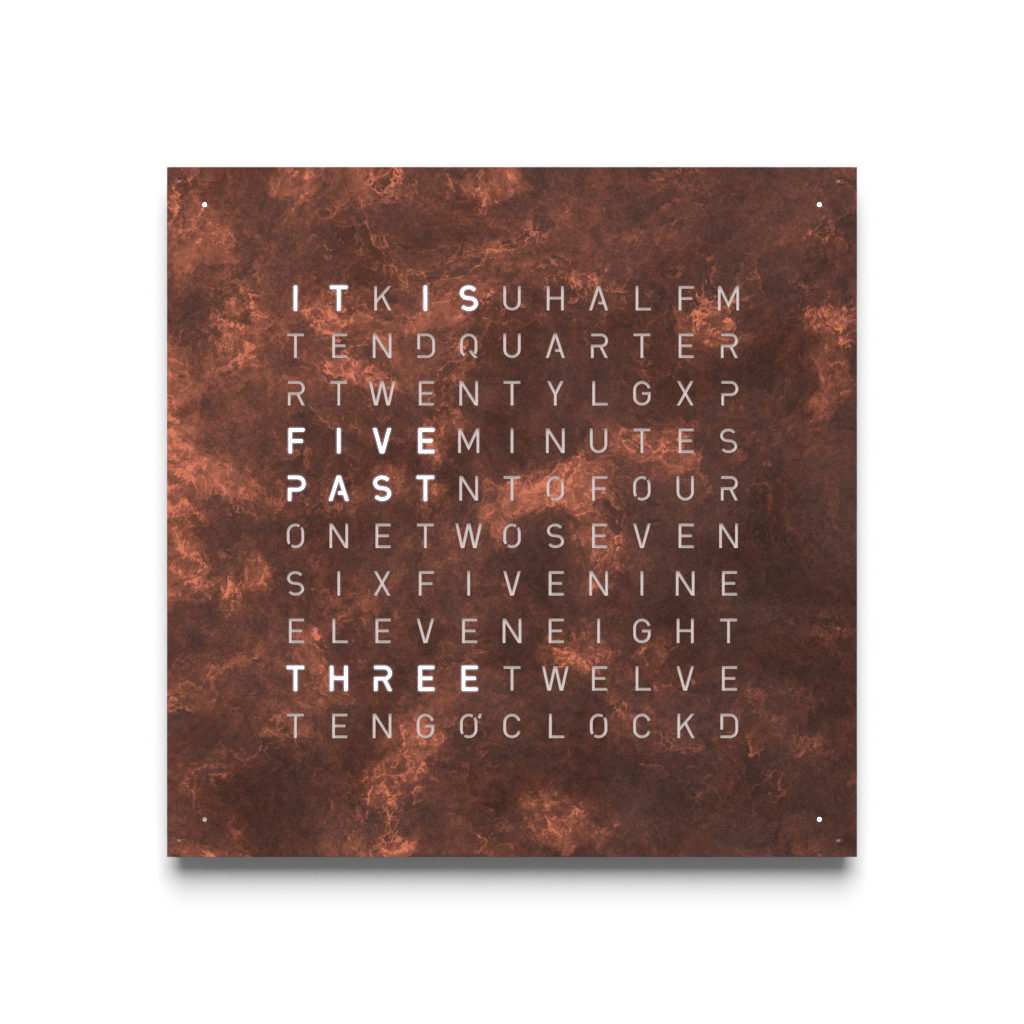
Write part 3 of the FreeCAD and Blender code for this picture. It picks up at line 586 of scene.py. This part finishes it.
def lighted(finish, lit):
    """Makes a finish glow where lit is 1, with a faint painted glow elsewhere that stands for stray light."""
    light = finish.blend(lit, shade(255, 230, 225), shade(244, 248, 255))
    strength = finish.sums("MULTIPLY_ADD", lit, glow_strength - painted_rest_glow, painted_rest_glow)
    finish.join(light, finish.shader.inputs["Emission Color"])
    finish.join(strength, finish.shader.inputs["Emission Strength"])
    cloud = finish.noise(finish.place, 60.0, 4.0)
    finish.colour(finish.blend(cloud, (0.33, 0.295, 0.285, 1), (0.37, 0.33, 0.32, 1)))
    finish.bump(finish.noise(finish.place, 700.0, 2.0), 0.00001, 0.4)


opal = Finish("opal_acrylic", Roughness=0.35)
across, _, up = opal.axes(opal.place)
half_column, half_row = column_pitch * mm / 2, row_pitch * mm / 2
even_across, even_up = 8.5 * mm, 9.5 * mm  # how far a lit cell is even
aside = opal.sums("PINGPONG", across, half_column)
above = opal.sums("PINGPONG", opal.sums("ADD", up, half_row), half_row)
even = opal.between(aside, even_across, half_column, 1.0, 0.0)
even = opal.sums("MULTIPLY", even, opal.between(above, even_up, half_row, 1.0, 0.0))
to_wall = opal.sums("SUBTRACT", half_column, aside)
to_wall = opal.sums("MINIMUM", to_wall, opal.sums("SUBTRACT", half_row, above))
over_wall = opal.between(to_wall, 1.0 * mm, 0.2 * mm, 0.0, -0.03)
lighted(opal, opal.sums("MULTIPLY_ADD", lit_cells(opal), even, over_wall))
dress(opal, "opal_sheet")

lens_opal = Finish("lens_acrylic", Roughness=0.35)
lens_even, lens_end = 3 * mm, 7 * mm
across, _, up = lens_opal.axes(lens_opal.place)
lit_lens = lens_opal.sums("GREATER_THAN", lens_opal.sums("MAXIMUM", across, up), 0.0)
away = lens_opal.vector("ABSOLUTE", lens_opal.add("CombineXYZ", across, up))
away = lens_opal.vector("DISTANCE", away, (dot_place, dot_place, 0), out=1)
away = lens_opal.between(away, lens_even, lens_end, 1.0, 0.0)
lighted(lens_opal, lens_opal.sums("MULTIPLY", lit_lens, away))
dress(lens_opal, "minute_lenses")

# ---------------------------------------------------------------- light grid and light wells
# White moulded plastic that reflects the lamps' light: the grid has one flared cell for each
# letter, and a square tower with a round bore stands round each corner lamp.
moulding = Finish("white_moulding", Roughness=0.45)
flow = moulding.noise(moulding.place, 9.0, 4.0)
moulding.colour(moulding.ramp(flow, (0.35, shade(229, 229, 225)), (0.65, shade(238, 238, 235))))
moulding.bump(moulding.noise(moulding.place, 1500.0, 3.0, 0.6), 0.00003, 0.5)
dress(moulding, "light_grid", "light_wells")

# ---------------------------------------------------------------- locating studs
# Four turned steel pins, stud-welded behind the corners of the cover: a chamfered tip, and a thin
# flash of weld metal at the foot.
stud_low, stud_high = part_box("locating_studs")


def upright_round(name, x, z, radius, y_front, y_back, top_radius=None, vertices=32):
    """A round solid whose axis runs to the wall; it may taper to another radius at its back."""
    clear_bench()
    bpy.ops.mesh.primitive_cone_add(
        vertices=vertices, radius1=radius, radius2=radius if top_radius is None else top_radius,
        depth=y_back - y_front, location=(x, (y_front + y_back) / 2, z), rotation=(math.radians(-90), 0, 0))
    return made(name)


def smooth(piece, angle=30):
    only(piece)
    bpy.ops.object.shade_smooth_by_angle(angle=math.radians(angle))


stud = upright_round("cover_studs", mark, mark, stud_radius, stud_low.y, stud_high.y)
edit(stud, "EDGE", lambda middle: middle.y > stud_high.y - hair)
bpy.ops.mesh.bevel(offset=0.5 * mm, segments=3)
flash_radius, flash_back = 2.3 * mm, stud_low.y + 0.16 * mm
flash = upright_round("weld_flash", mark, mark, flash_radius, stud_low.y, flash_back, 1.7 * mm)
edit(flash, "EDGE", lambda middle: middle.y > flash_back - hair)
bpy.ops.mesh.bevel(offset=0.05 * mm, segments=2)
only(stud, flash)
bpy.ops.object.join()
modify(stud, "MIRROR", use_axis=(True, False, True))
smooth(stud)
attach(stud, "cover")
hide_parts("locating_studs")

turned = Finish("turned_steel", Metallic=1.0, Roughness=0.3)
rings = turned.noise(turned.stretched((0.2, 9, 0.2)), 700.0, 3.0)
turned.colour(turned.ramp(rings, (0.3, shade(178, 178, 176)), (0.7, shade(206, 206, 203))))
turned.roughness(turned.between(turned.noise(turned.place, 300.0, 3.0), 0.3, 0.7, 0.22, 0.4))
turned.bump(rings, 0.00002, 0.6)
stud.data.materials.append(turned.material)

# ---------------------------------------------------------------- cover magnets
# Eight sintered bar magnets with nickel plating, two near each corner.  They are pressed into seats
# in the side frame, flush with its front, and hold the steel cover.
magnet_low, magnet_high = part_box("cover_magnets")
magnet_length, magnet_width = 20 * mm, 8 * mm
magnet_along, magnet_out = 165 * mm, magnet_high.x - magnet_width / 2


def block(name, low, high):
    """A rectangular solid between two corners."""
    clear_bench()
    bpy.ops.mesh.primitive_cube_add(
        size=1, location=[(a + b) / 2 for a, b in zip(low, high)], scale=[b - a for a, b in zip(low, high)])
    return made(name)


bars = []
for x, z, half_x, half_z in (
    (magnet_along, magnet_out, magnet_length / 2, magnet_width / 2),
    (magnet_out, magnet_along, magnet_width / 2, magnet_length / 2),
):
    near_end, far_end = (x - half_x, magnet_low.y, z - half_z), (x + half_x, magnet_high.y, z + half_z)
    bars.append(block("bar_magnets", near_end, far_end))
only(*bars)
bpy.ops.object.join()
magnets = bars[0]
modify(magnets, "BEVEL", width=0.4 * mm, segments=3)
modify(magnets, "MIRROR", use_axis=(True, False, True))
smooth(magnets)
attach(magnets, "housing")
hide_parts("cover_magnets")

nickel = Finish("nickel_plating", Metallic=1.0)
tarnish = nickel.noise(nickel.place, 45.0, 5.0)
nickel.colour(nickel.ramp(tarnish, (0.3, shade(196, 193, 186)), (0.7, shade(219, 217, 211))))
scuffs = nickel.noise(nickel.stretched((1, 1, 0.1), (0.3, 0.5, 0)), 2200.0, 3.0)
nickel.roughness(nickel.between(scuffs, 0.45, 0.75, 0.16, 0.42))
nickel.bump(nickel.noise(nickel.place, 1100.0, 2.0), 0.00002, 0.3)
magnets.data.materials.append(nickel.material)

# ---------------------------------------------------------------- side frame
# Square frame moulded in black plastic and sprayed with satin lacquer, so the outside has the fine
# ripple of a sprayed coat.
lacquer = Finish("black_lacquer", Coat_Weight=0.35, Coat_Roughness=0.12)
dust = lacquer.between(lacquer.noise(lacquer.place, 3400.0, 2.0, 0.7), 0.70, 0.82)
haze = lacquer.noise(lacquer.place, 14.0, 5.0)
coat = lacquer.blend(haze, shade(27, 27, 28), shade(33, 33, 34))
lacquer.colour(lacquer.blend(dust, coat, shade(70, 69, 68)))
lacquer.roughness(lacquer.between(haze, 0.3, 0.7, 0.34, 0.48))
lacquer.bump(lacquer.noise(lacquer.place, 650.0, 2.0), 0.00003, 0.35)
dress(lacquer, "side_frame")

# ---------------------------------------------------------------- rear panel
# Panel moulded in black plastic with a spark-eroded grain.  The ribs and clips that hold the boards,
# and the bosses round the wall screws' holes, are moulded in one piece with it.
grained = Finish("grained_black_plastic")
patchy = grained.noise(grained.place, 11.0, 5.0, 0.55)
pits = grained.noise(grained.place, 1900.0, 3.0, 0.6)
worn = grained.sums("MULTIPLY", grained.sums("ADD", pits, patchy), 0.5)
grained.colour(grained.ramp(worn, (0.3, shade(33, 33, 34)), (0.7, shade(51, 51, 51))))
grained.roughness(grained.between(patchy, 0.3, 0.7, 0.52, 0.68))
grained.bump(pits, 0.00012, 0.6)
dress(grained, "rear_panel")

# ---------------------------------------------------------------- wall pads
# Four soft rubber pads pressed into pockets of the rear panel, with raised square rings that grip
# the wall.
pad_low, pad_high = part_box("wall_pads")
pad_width, ring_width, ring_flank, ring_depth = 16 * mm, 0.9 * mm, 0.15 * mm, 0.4 * mm
pad = block("rubber_pads", (pad_high.x - pad_width, pad_low.y, pad_high.z - pad_width), pad_high)
edit(pad, "EDGE", lambda middle: middle.y > pad_low.y + hair)
bpy.ops.mesh.bevel(offset=0.35 * mm, segments=2)
edit(pad, "FACE", lambda middle: middle.y > pad_high.y - hair)
for depth in (-ring_depth, ring_depth) * 3:
    bpy.ops.mesh.inset(thickness=ring_width)
    bpy.ops.mesh.inset(thickness=ring_flank, depth=depth)
bpy.ops.object.mode_set(mode="OBJECT")
modify(pad, "MIRROR", use_axis=(True, False, True))
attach(pad, "housing")
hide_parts("wall_pads")

rubber = Finish("black_rubber", Specular_IOR_Level=0.3)
bloom = rubber.noise(rubber.place, 160.0, 5.0, 0.65)
rubber.colour(rubber.ramp(bloom, (0.35, shade(38, 38, 38)), (0.7, shade(62, 61, 59))))
rubber.roughness(rubber.between(bloom, 0.3, 0.7, 0.62, 0.85))
rubber.bump(rubber.noise(rubber.place, 2600.0, 2.0), 0.00004, 0.5)
pad.data.materials.append(rubber.material)

# ---------------------------------------------------------------- circuit boards
# Glass-fibre boards with white solder resist.  Bundles of tracks and small plated holes show as
# faint ridges under the resist, and the sawn edges show the bare laminate.
resist = Finish("white_solder_resist", Roughness=0.5)
across, _, up = resist.axes(resist.place)
zones = resist.noise(resist.place, 34.0, 1.0)
tracks = 0.0
for first, second, low, high in ((across, up, 0.53, 0.54), (up, across, 0.47, 0.46)):
    face = resist.add("CombineXYZ", first, second)
    bundle = resist.add(
        "TexBrick", face, None, None, None, 100.0, 0.018, 0.1, 0.0, 2.7, 0.1, out=1, offset=0.37)
    bundle = resist.sums("MULTIPLY", bundle, resist.between(zones, low, high))
    tracks = resist.sums("ADD", tracks, bundle)
plated = resist.add("TexVoronoi", resist.add("CombineXYZ", across, up), None, 170.0)
tracks = resist.sums("MAXIMUM", tracks, resist.between(plated, 0.075, 0.06))
_, facing, _ = resist.axes(resist.add("TexCoord", out=1))
sawn = resist.sums("LESS_THAN", resist.sums("ABSOLUTE", facing), 0.5)
weave = resist.noise(resist.stretched((1, 14, 1)), 900.0, 3.0)
top_colour = resist.blend(resist.sums("MULTIPLY", tracks, 0.5), shade(227, 227, 223), shade(205, 208, 192))
edge_colour = resist.blend(weave, shade(138, 134, 84), shade(190, 184, 132))
resist.colour(resist.blend(sawn, top_colour, edge_colour))
resist.bump(tracks, 0.00004, 0.8)
dress(resist, "lamp_board", "control_board")

# ---------------------------------------------------------------- lamps
# Surface-mounted lamps: a white moulded cup with a round window of yellow phosphor, one for each
# letter and one for each corner light.
window_edge, window_ring = 1.1 * mm, 1.2 * mm
for node, pitch, start in (
    ("letter_lamps", (column_pitch * mm, row_pitch * mm), (0.0, row_pitch * mm / 2)),
    ("minute_lamps", (2 * dot_place, 2 * dot_place), (dot_place, dot_place)),
):
    cup = Finish(node.replace("_", "_white_"), Roughness=0.4)
    across, _, up = cup.axes(cup.place)
    apart = []
    for value, step, first in ((across, pitch[0], start[0]), (up, pitch[1], start[1])):
        apart.append(cup.sums("WRAP", cup.sums("SUBTRACT", value, first), step / 2, -step / 2))
    away = cup.vector("LENGTH", cup.add("CombineXYZ", *apart), out=1)
    phosphor = cup.between(away, window_ring, window_edge)
    cup.colour(cup.blend(phosphor, shade(238, 237, 230), shade(232, 205, 92)))
    cup.bump(cup.sums("SUBTRACT", cup.noise(cup.place, 1500.0, 2.0), phosphor), 0.0001, 0.5)
    dress(cup, node)

# ---------------------------------------------------------------- chips on the control board
# Black epoxy packages on formed and tinned legs: a square one that keeps the time, and three
# narrow ones that drive the lamps.
chip_low, chip_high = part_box("microcontroller")
driver_low, driver_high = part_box("lamp_drivers")
board_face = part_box("control_board")[0].y


def leg_row(name, count, pitch, body_half, top, width=0.3 * mm):
    """A row of formed legs along +Z of a package centred on the origin, its board at Y = 0."""
    root, shoulder, run, foot = 0.1 * mm, 0.25 * mm, 0.2 * mm, 0.5 * mm
    thick, middle = 0.14 * mm, -top / 2
    start = block(
        name, (-(count - 1) / 2 * pitch - width / 2, middle - thick / 2, body_half - root),
        (-(count - 1) / 2 * pitch + width / 2, middle + thick / 2, body_half + shoulder))
    edit(start, "FACE", lambda at: at.z > body_half + shoulder - hair)
    bpy.ops.mesh.extrude_region_move(TRANSFORM_OT_translate={"value": (0, -middle - thick / 2, run)})
    bpy.ops.mesh.extrude_region_move(TRANSFORM_OT_translate={"value": (0, 0, foot)})
    bpy.ops.object.mode_set(mode="OBJECT")
    modify(start, "ARRAY", count=count, use_relative_offset=False, use_constant_offset=True,
           constant_offset_displace=(pitch, 0, 0))
    return start


def settled(piece, place, turn=0.0):
    """Turns a piece about the Y axis through the origin and moves it to its place."""
    piece.rotation_euler.y = math.radians(turn)
    piece.location = place
    only(piece)
    bpy.ops.object.transform_apply(location=True, rotation=True, scale=True)
    return piece


def copies(piece, places):
    """One object of copies at (x, y, z, turn) places, in place of the piece itself."""
    name, group = piece.name, []
    for x, y, z, turn in places:
        twin = bpy.data.objects.new(name, piece.data.copy())
        bpy.context.scene.collection.objects.link(twin)
        group.append(settled(twin, (x, y, z), turn))
    bpy.data.objects.remove(piece)
    only(*group)
    bpy.ops.object.join()
    group[0].name = group[0].data.name = name
    return group[0]


def package(name, half_width, half_height, top):
    """A moulded body, centred on the origin, with a round dimple at its first leg."""
    body = block(name, (-half_width, -top, -half_height), (half_width, -0.1 * mm, half_height))
    modify(body, "BEVEL", width=0.12 * mm, segments=2)
    x, z = 1.0 * mm - half_width, 1.0 * mm - half_height
    dimple = upright_round("dimple", x, z, 0.4 * mm, -top - 1 * mm, -top + 0.08 * mm)
    modify(body, "BOOLEAN", operation="DIFFERENCE", object=dimple, solver="EXACT")
    bpy.data.objects.remove(dimple)
    return body


chip_middle = (chip_low + chip_high) / 2
chip_top = board_face - chip_low.y
clock_chip = package("clock_chip_body", chip_high.x - chip_middle.x, chip_high.z - chip_middle.z, chip_top)
clock_legs = leg_row("clock_chip_legs", 11, 0.8 * mm, chip_high.z - chip_middle.z, chip_top)
clock_legs = copies(clock_legs, [(0, 0, 0, turn) for turn in (0, 90, 180, 270)])
driver_half = ((driver_high.z - driver_low.z) / 2, 5 * mm)
driver_top = board_face - driver_low.y
driver = package("driver_bodies", driver_half[1], driver_half[0], driver_top)
driver_legs = leg_row("driver_legs", 14, 0.65 * mm, driver_half[0], driver_top, 0.26 * mm)
driver_legs = copies(driver_legs, [(0, 0, 0, turn) for turn in (0, 180)])
driver_pitch = (driver_high.x - driver_low.x - 2 * driver_half[1]) / 2
driver_start = (driver_low.x + driver_half[1], board_face, (driver_low.z + driver_high.z) / 2)
epoxy = Finish("black_epoxy")
speckle = epoxy.noise(epoxy.place, 5200.0, 3.0, 0.7)
epoxy.colour(epoxy.ramp(speckle, (0.35, shade(30, 30, 31)), (0.7, shade(52, 52, 53))))
epoxy.roughness(epoxy.between(speckle, 0.3, 0.7, 0.5, 0.7))
epoxy.bump(speckle, 0.00003, 0.6)
tinned = Finish("tinned_metal", Metallic=1.0)
wetting = tinned.noise(tinned.place, 900.0, 4.0)
tinned.colour(tinned.ramp(wetting, (0.3, shade(180, 181, 180)), (0.7, shade(214, 214, 210))))
tinned.roughness(tinned.between(wetting, 0.3, 0.7, 0.2, 0.42))
tinned.bump(wetting, 0.00003, 0.5)
clock_start = (chip_middle.x, board_face, chip_middle.z)
for piece, start, count, finish, node, slot in (
    (clock_chip, clock_start, 1, epoxy, "microcontroller", "chip_epoxy"),
    (clock_legs, clock_start, 1, tinned, "microcontroller", "cell_steel"),
    (driver, driver_start, 3, epoxy, "lamp_drivers", "chip_epoxy"),
    (driver_legs, driver_start, 3, tinned, "lamp_drivers", "cell_steel"),
):
    settled(piece, start)
    modify(piece, "ARRAY", count=count, use_relative_offset=False, use_constant_offset=True,
           constant_offset_displace=(driver_pitch, 0, 0))
    piece.data.materials.clear()
    piece.data.materials.append(finish.material)
    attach(piece, "housing")
    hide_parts(node)

# ---------------------------------------------------------------- small parts on the boards
# Ceramic resistors and capacitors with tinned ends, a voltage regulator, a moulded capacitor and a
# quartz crystal are soldered on the front of the control board; each arm of the lamp board has two.
lamp_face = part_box("lamp_board")[0].y
driver_x = [driver_low.x + driver_half[1] + driver_pitch * step for step in range(3)]
parts_z = driver_start[2]


def chip_part(name, length, width, height, gap=0.0):
    """A bevelled block on a board at Y = 0, along X; a gap leaves only its two ends."""
    pieces = []
    for side in (-1, 1) if gap else (0,):
        half = (length - gap) / 4 if gap else length / 2
        x = side * (length / 2 - half)
        pieces.append(block(name, (x - half, -height, -width / 2), (x + half, 0, width / 2)))
    only(*pieces)
    if gap:
        bpy.ops.object.join()
    modify(pieces[0], "BEVEL", width=0.08 * mm, segments=2)
    return pieces[0]


def housed(piece, finish):
    """Finishes a piece that belongs to the housing."""
    piece.data.materials.clear()
    piece.data.materials.append(finish.material)
    smooth(piece)
    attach(piece, "housing")


ceramic = Finish("tan_ceramic", Roughness=0.45)
fired = ceramic.noise(ceramic.place, 1500.0, 3.0)
ceramic.colour(ceramic.ramp(fired, (0.3, shade(150, 118, 84)), (0.7, shade(178, 146, 108))))
ceramic.bump(ceramic.noise(ceramic.place, 4000.0, 2.0), 0.00002, 0.5)

middle_x, middle_z = chip_middle.x, chip_middle.z
in_row, in_pair, round_chip = (-3.75, -1.25, 1.25, 3.75), (-2.6, 2.6), ((-4.2, 8.4), (4.2, 8.4), (3.0, -9.2))
resistor_places = [(x + across * mm, parts_z - 5.4 * mm, 90) for x in driver_x for across in in_row]
resistor_places += [(middle_x + across * mm, middle_z - 9.2 * mm, 90) for across in (-4.0, -1.5)]
capacitor_places = [(x + across * mm, parts_z + 5.6 * mm, 0) for x in driver_x for across in in_pair]
capacitor_places += [(middle_x + across * mm, middle_z + up * mm, 0) for across, up in round_chip]
# Kind, height, places on the control board, distance from the clock's middle on the arms, finish.
for kind, height, places, radius, finish in (
    ("resistor", 0.5 * mm, resistor_places, 270 * mm, epoxy),
    ("capacitor", 0.8 * mm, capacitor_places, 247 * mm, ceramic),
):
    body = chip_part(kind + "_bodies", 1.4 * mm, 1.2 * mm, height)
    ends = chip_part(kind + "_ends", 2.0 * mm, 1.25 * mm, height + 0.03 * mm, gap=1.3 * mm)
    spread_out = [(x, board_face, z, turn) for x, z, turn in places]
    for quarter in (45, 135, 225, 315):
        turn = math.radians(quarter)
        spread_out.append((radius * math.sin(turn), lamp_face, radius * math.cos(turn), quarter))
    housed(copies(body, spread_out), finish)
    housed(copies(ends, spread_out), tinned)

power_x = 22 * mm
regulator_place, bulk_place = (power_x, board_face, -184 * mm), (power_x, board_face, -197 * mm)
crystal_place = (middle_x + 10.5 * mm, board_face, middle_z + 1 * mm)
body_half, body_top = 1.75 * mm, 1.6 * mm
regulator = package("regulator_body", 3.25 * mm, body_half, body_top)
housed(settled(regulator, regulator_place), epoxy)
for name, count, width, turn in (("regulator_legs", 3, 0.7 * mm, 180), ("regulator_tab", 1, 3.0 * mm, 0)):
    feet = leg_row(name, count, 2.3 * mm, body_half, body_top, width)
    housed(settled(feet, regulator_place, turn), tinned)
for name, length, width, height, gap, place, finish, slot in (
    ("moulded_capacitor", 7.0, 4.3, 2.8, 0.0, bulk_place, ceramic, "chip_epoxy"),
    ("moulded_capacitor_ends", 7.5, 2.4, 1.4, 5.5, bulk_place, tinned, "cell_steel"),
    ("quartz_crystal", 5.0, 3.2, 1.1, 0.0, crystal_place, tinned, "cell_steel"),
):
    part = chip_part(name, length * mm, width * mm, height * mm, gap * mm)
    housed(settled(part, place, 90), finish)

# Soldered pins of the supply socket and of the switches come through the board: across, up, radius.
button_names = ("mode", "hour", "minute", "brightness")
button_x = [sum(corner.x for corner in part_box(name + "_button")) / 2 for name in button_names]
pins = [(0, -176 * mm, 1.5 * mm), (-3 * mm, -180 * mm, 1.3 * mm), (3 * mm, -183 * mm, 1.3 * mm)]
pins += [(x + side * 2.25 * mm, -211 * mm, 0.9 * mm) for x in button_x for side in (-1, 1)]
joints, joint_tip, tip_radius = [], board_face - 0.9 * mm, 0.35 * mm
for x, z, radius in pins:
    joint = upright_round("solder_joints", x, z, tip_radius, joint_tip, board_face, radius, 24)
    edit(joint, "EDGE", lambda middle: middle.y < joint_tip + hair)
    bpy.ops.mesh.bevel(offset=0.15 * mm, segments=3)
    joints.append(joint)
only(*joints)
bpy.ops.object.join()
housed(joints[0], tinned)

# ---------------------------------------------------------------- backup cell and its clip
# Steel coin cell that keeps the time when the supply is off, in a clip bent from spring steel strip
# and soldered to the control board.  Both are bright, with fine marks from drawing.
spring = Finish("bright_spring_steel", Metallic=1.0)
drawn = spring.noise(spring.stretched((0.05, 1, 1)), 2600.0, 3.0)
spring.colour(spring.ramp(drawn, (0.3, shade(188, 187, 182)), (0.7, shade(214, 213, 208))))
spring.roughness(spring.between(drawn, 0.3, 0.7, 0.2, 0.36))
spring.bump(drawn, 0.00001, 0.5)
dress(spring, "backup_cell", "backup_cell_clip")

# ---------------------------------------------------------------- supply socket
# Barrel socket for the supply plug: a black moulded body, soldered behind the control board, with a
# plated pin on the axis of its bore.
pin_radius, pin_depth = 1.2 * mm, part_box("supply_socket")[0].y + 4.9 * mm
barrel = Finish("black_socket_plastic")
across, deep, _ = barrel.axes(barrel.place)
off_axis = barrel.add("CombineXYZ", across, barrel.sums("SUBTRACT", deep, pin_depth))
off_axis = barrel.vector("LENGTH", off_axis, out=1)
pin = barrel.sums("LESS_THAN", off_axis, pin_radius)
cloud = barrel.noise(barrel.place, 900.0, 3.0)
black = barrel.blend(cloud, shade(30, 30, 31), shade(44, 44, 44))
barrel.colour(barrel.blend(pin, black, shade(205, 200, 186)))
barrel.metallic(pin)
barrel.roughness(barrel.between(cloud, 0.3, 0.7, 0.3, 0.42))
barrel.bump(cloud, 0.00003, 0.4)
dress(barrel, "supply_socket")

# ---------------------------------------------------------------- ribbon cable and its sockets
# Flat foil cable: tinned strips, 1 mm apart, laminated between two grey films.  Its sockets are
# cream with a brown bar that clamps the cable.
ribbon_low, ribbon_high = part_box("ribbon_cable")
ribbon_middle = (ribbon_low + ribbon_high) / 2
half_pitch, strip_edge, strip_flat = 0.5 * mm, 0.36 * mm, 0.30 * mm
film = Finish("grey_film", Roughness=0.4)
across, _, _ = film.axes(film.place)
from_strip = film.sums("SUBTRACT", across, ribbon_middle.x)
from_strip = film.sums("ABSOLUTE", film.sums("WRAP", from_strip, half_pitch, -half_pitch))
strip = film.between(from_strip, strip_edge, strip_flat)
cloud = film.noise(film.place, 700.0, 3.0)
grey = film.blend(cloud, shade(158, 160, 164), shade(176, 178, 182))
film.colour(film.blend(strip, grey, shade(196, 197, 197)))
film.bump(film.sums("MULTIPLY_ADD", cloud, 0.2, strip), 0.00006, 0.8)
dress(film, "ribbon_cable")

cream = Finish("cream_connector_plastic", Roughness=0.5)
clamp_reach = 4.8 * mm  # from the middle of the cable, up and down
_, _, up = cream.axes(cream.place)
off_middle = cream.sums("ABSOLUTE", cream.sums("SUBTRACT", up, ribbon_middle.z))
clamp = cream.sums("LESS_THAN", off_middle, clamp_reach)
cloud = cream.noise(cream.place, 1200.0, 3.0)
shell = cream.blend(cloud, shade(206, 202, 190), shade(218, 214, 202))
cream.colour(cream.blend(clamp, shell, shade(96, 66, 44)))
cream.bump(cream.sums("SUBTRACT", cloud, clamp), 0.00008, 0.5)
dress(cream, "ribbon_sockets")

# ---------------------------------------------------------------- switches and light sensor
# Push switches with a black body under a pressed steel cover, grey plungers, and a sensor cast in
# dark resin behind a clear plug in the lower wall.
cased = Finish("switch_case")
_, facing, _ = cased.axes(cased.add("TexCoord", out=1))
covered = cased.sums("GREATER_THAN", cased.sums("ABSOLUTE", facing), 0.5)
cloud = cased.noise(cased.place, 1400.0, 3.0)
black = cased.blend(cloud, shade(34, 34, 35), shade(48, 48, 48))
cased.colour(cased.blend(covered, black, shade(196, 196, 193)))
cased.metallic(covered)
cased.roughness(cased.between(cloud, 0.3, 0.7, 0.28, 0.45))
cased.bump(cloud, 0.00003, 0.4)
dress(cased, "button_switches")

plungers = [name + "_plunger" for name in button_names]
for name, dark, light, nodes, roughness in (
    ("grey_plunger_plastic", (150, 151, 152), (168, 169, 170), plungers, 0.45),
    ("dark_sensor_resin", (26, 18, 18), (40, 26, 25), ["light_sensor"], 0.15),
):
    moulded_small = Finish(name, Roughness=roughness)
    cloud = moulded_small.noise(moulded_small.place, 1300.0, 3.0)
    moulded_small.colour(moulded_small.blend(cloud, shade(*dark), shade(*light)))
    moulded_small.bump(cloud, 0.00002, 0.4)
    dress(moulded_small, *nodes)

clear_plug = Finish("clear_plug", Roughness=0.08, Transmission_Weight=0.85, IOR=1.49)
cloud = clear_plug.noise(clear_plug.place, 500.0, 3.0)
clear_plug.colour(clear_plug.blend(cloud, shade(214, 222, 226), shade(228, 234, 236)))
clear_plug.bump(cloud, 0.00002, 0.3)
dress(clear_plug, "sensor_window")

# ---------------------------------------------------------------- setting buttons
# Four turned-looking moulded buttons in the lower wall: a dished crown with a rounded rim outside,
# and a flange inside that rests on the wall.
button_low, button_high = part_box("mode_button")
button_middle = (button_low + button_high) / 2
crown_radius, flange_radius = 3.0 * mm, (button_high.x - button_low.x) / 2
flange_bottom = button_high.z - 1.2 * mm
clear_bench()
bpy.ops.mesh.primitive_cylinder_add(
    vertices=48, radius=crown_radius, depth=flange_bottom - button_low.z,
    location=(button_middle.x, button_middle.y, (button_low.z + flange_bottom) / 2))
button = made("button_cap")
edit(button, "FACE", lambda middle: middle.z > flange_bottom - hair)
bpy.ops.mesh.extrude_region_move(TRANSFORM_OT_translate={"value": (0, 0, 0)})
wider = flange_radius / crown_radius
bpy.ops.transform.resize(
    value=(wider, wider, 1), center_override=(button_middle.x, button_middle.y, flange_bottom))
bpy.ops.mesh.extrude_region_move(TRANSFORM_OT_translate={"value": (0, 0, button_high.z - flange_bottom)})
edit(button, "FACE", lambda middle: middle.z < button_low.z + hair)
bpy.ops.mesh.inset(thickness=0.7 * mm)
for dish in (0.10 * mm, 0.07 * mm, 0.03 * mm):
    bpy.ops.mesh.inset(thickness=0.6 * mm, depth=-dish)


def on_rim(middle):
    away = (middle.xy - button_middle.xy).length
    on_crown = abs(middle.z - button_low.z) < hair and away > crown_radius - 0.1 * mm
    on_flange = abs(middle.z - button_high.z) < hair and away > flange_radius - 0.1 * mm
    return on_crown or on_flange


edit(button, "EDGE", on_rim)
bpy.ops.mesh.bevel(offset=0.3 * mm, segments=4)
smooth(button, 40)
button_finish = Finish("black_button_plastic", Coat_Weight=0.3, Coat_Roughness=0.1)
cloud = button_finish.noise(button_finish.place, 1100.0, 3.0)
button_finish.colour(button_finish.blend(cloud, shade(28, 28, 29), shade(38, 38, 39)))
button_finish.roughness(button_finish.between(cloud, 0.3, 0.7, 0.28, 0.4))
button_finish.bump(cloud, 0.00002, 0.4)
button.data.materials.append(button_finish.material)
for name, x in zip(button_names, button_x):
    twin = bpy.data.objects.new(name + "_cap", button.data.copy())
    twin.data.name = twin.name
    bpy.context.scene.collection.objects.link(twin)
    settled(twin, (x - button_middle.x, 0, 0))
    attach(twin, name + "_key")
    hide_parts(name + "_button")
bpy.data.objects.remove(button)
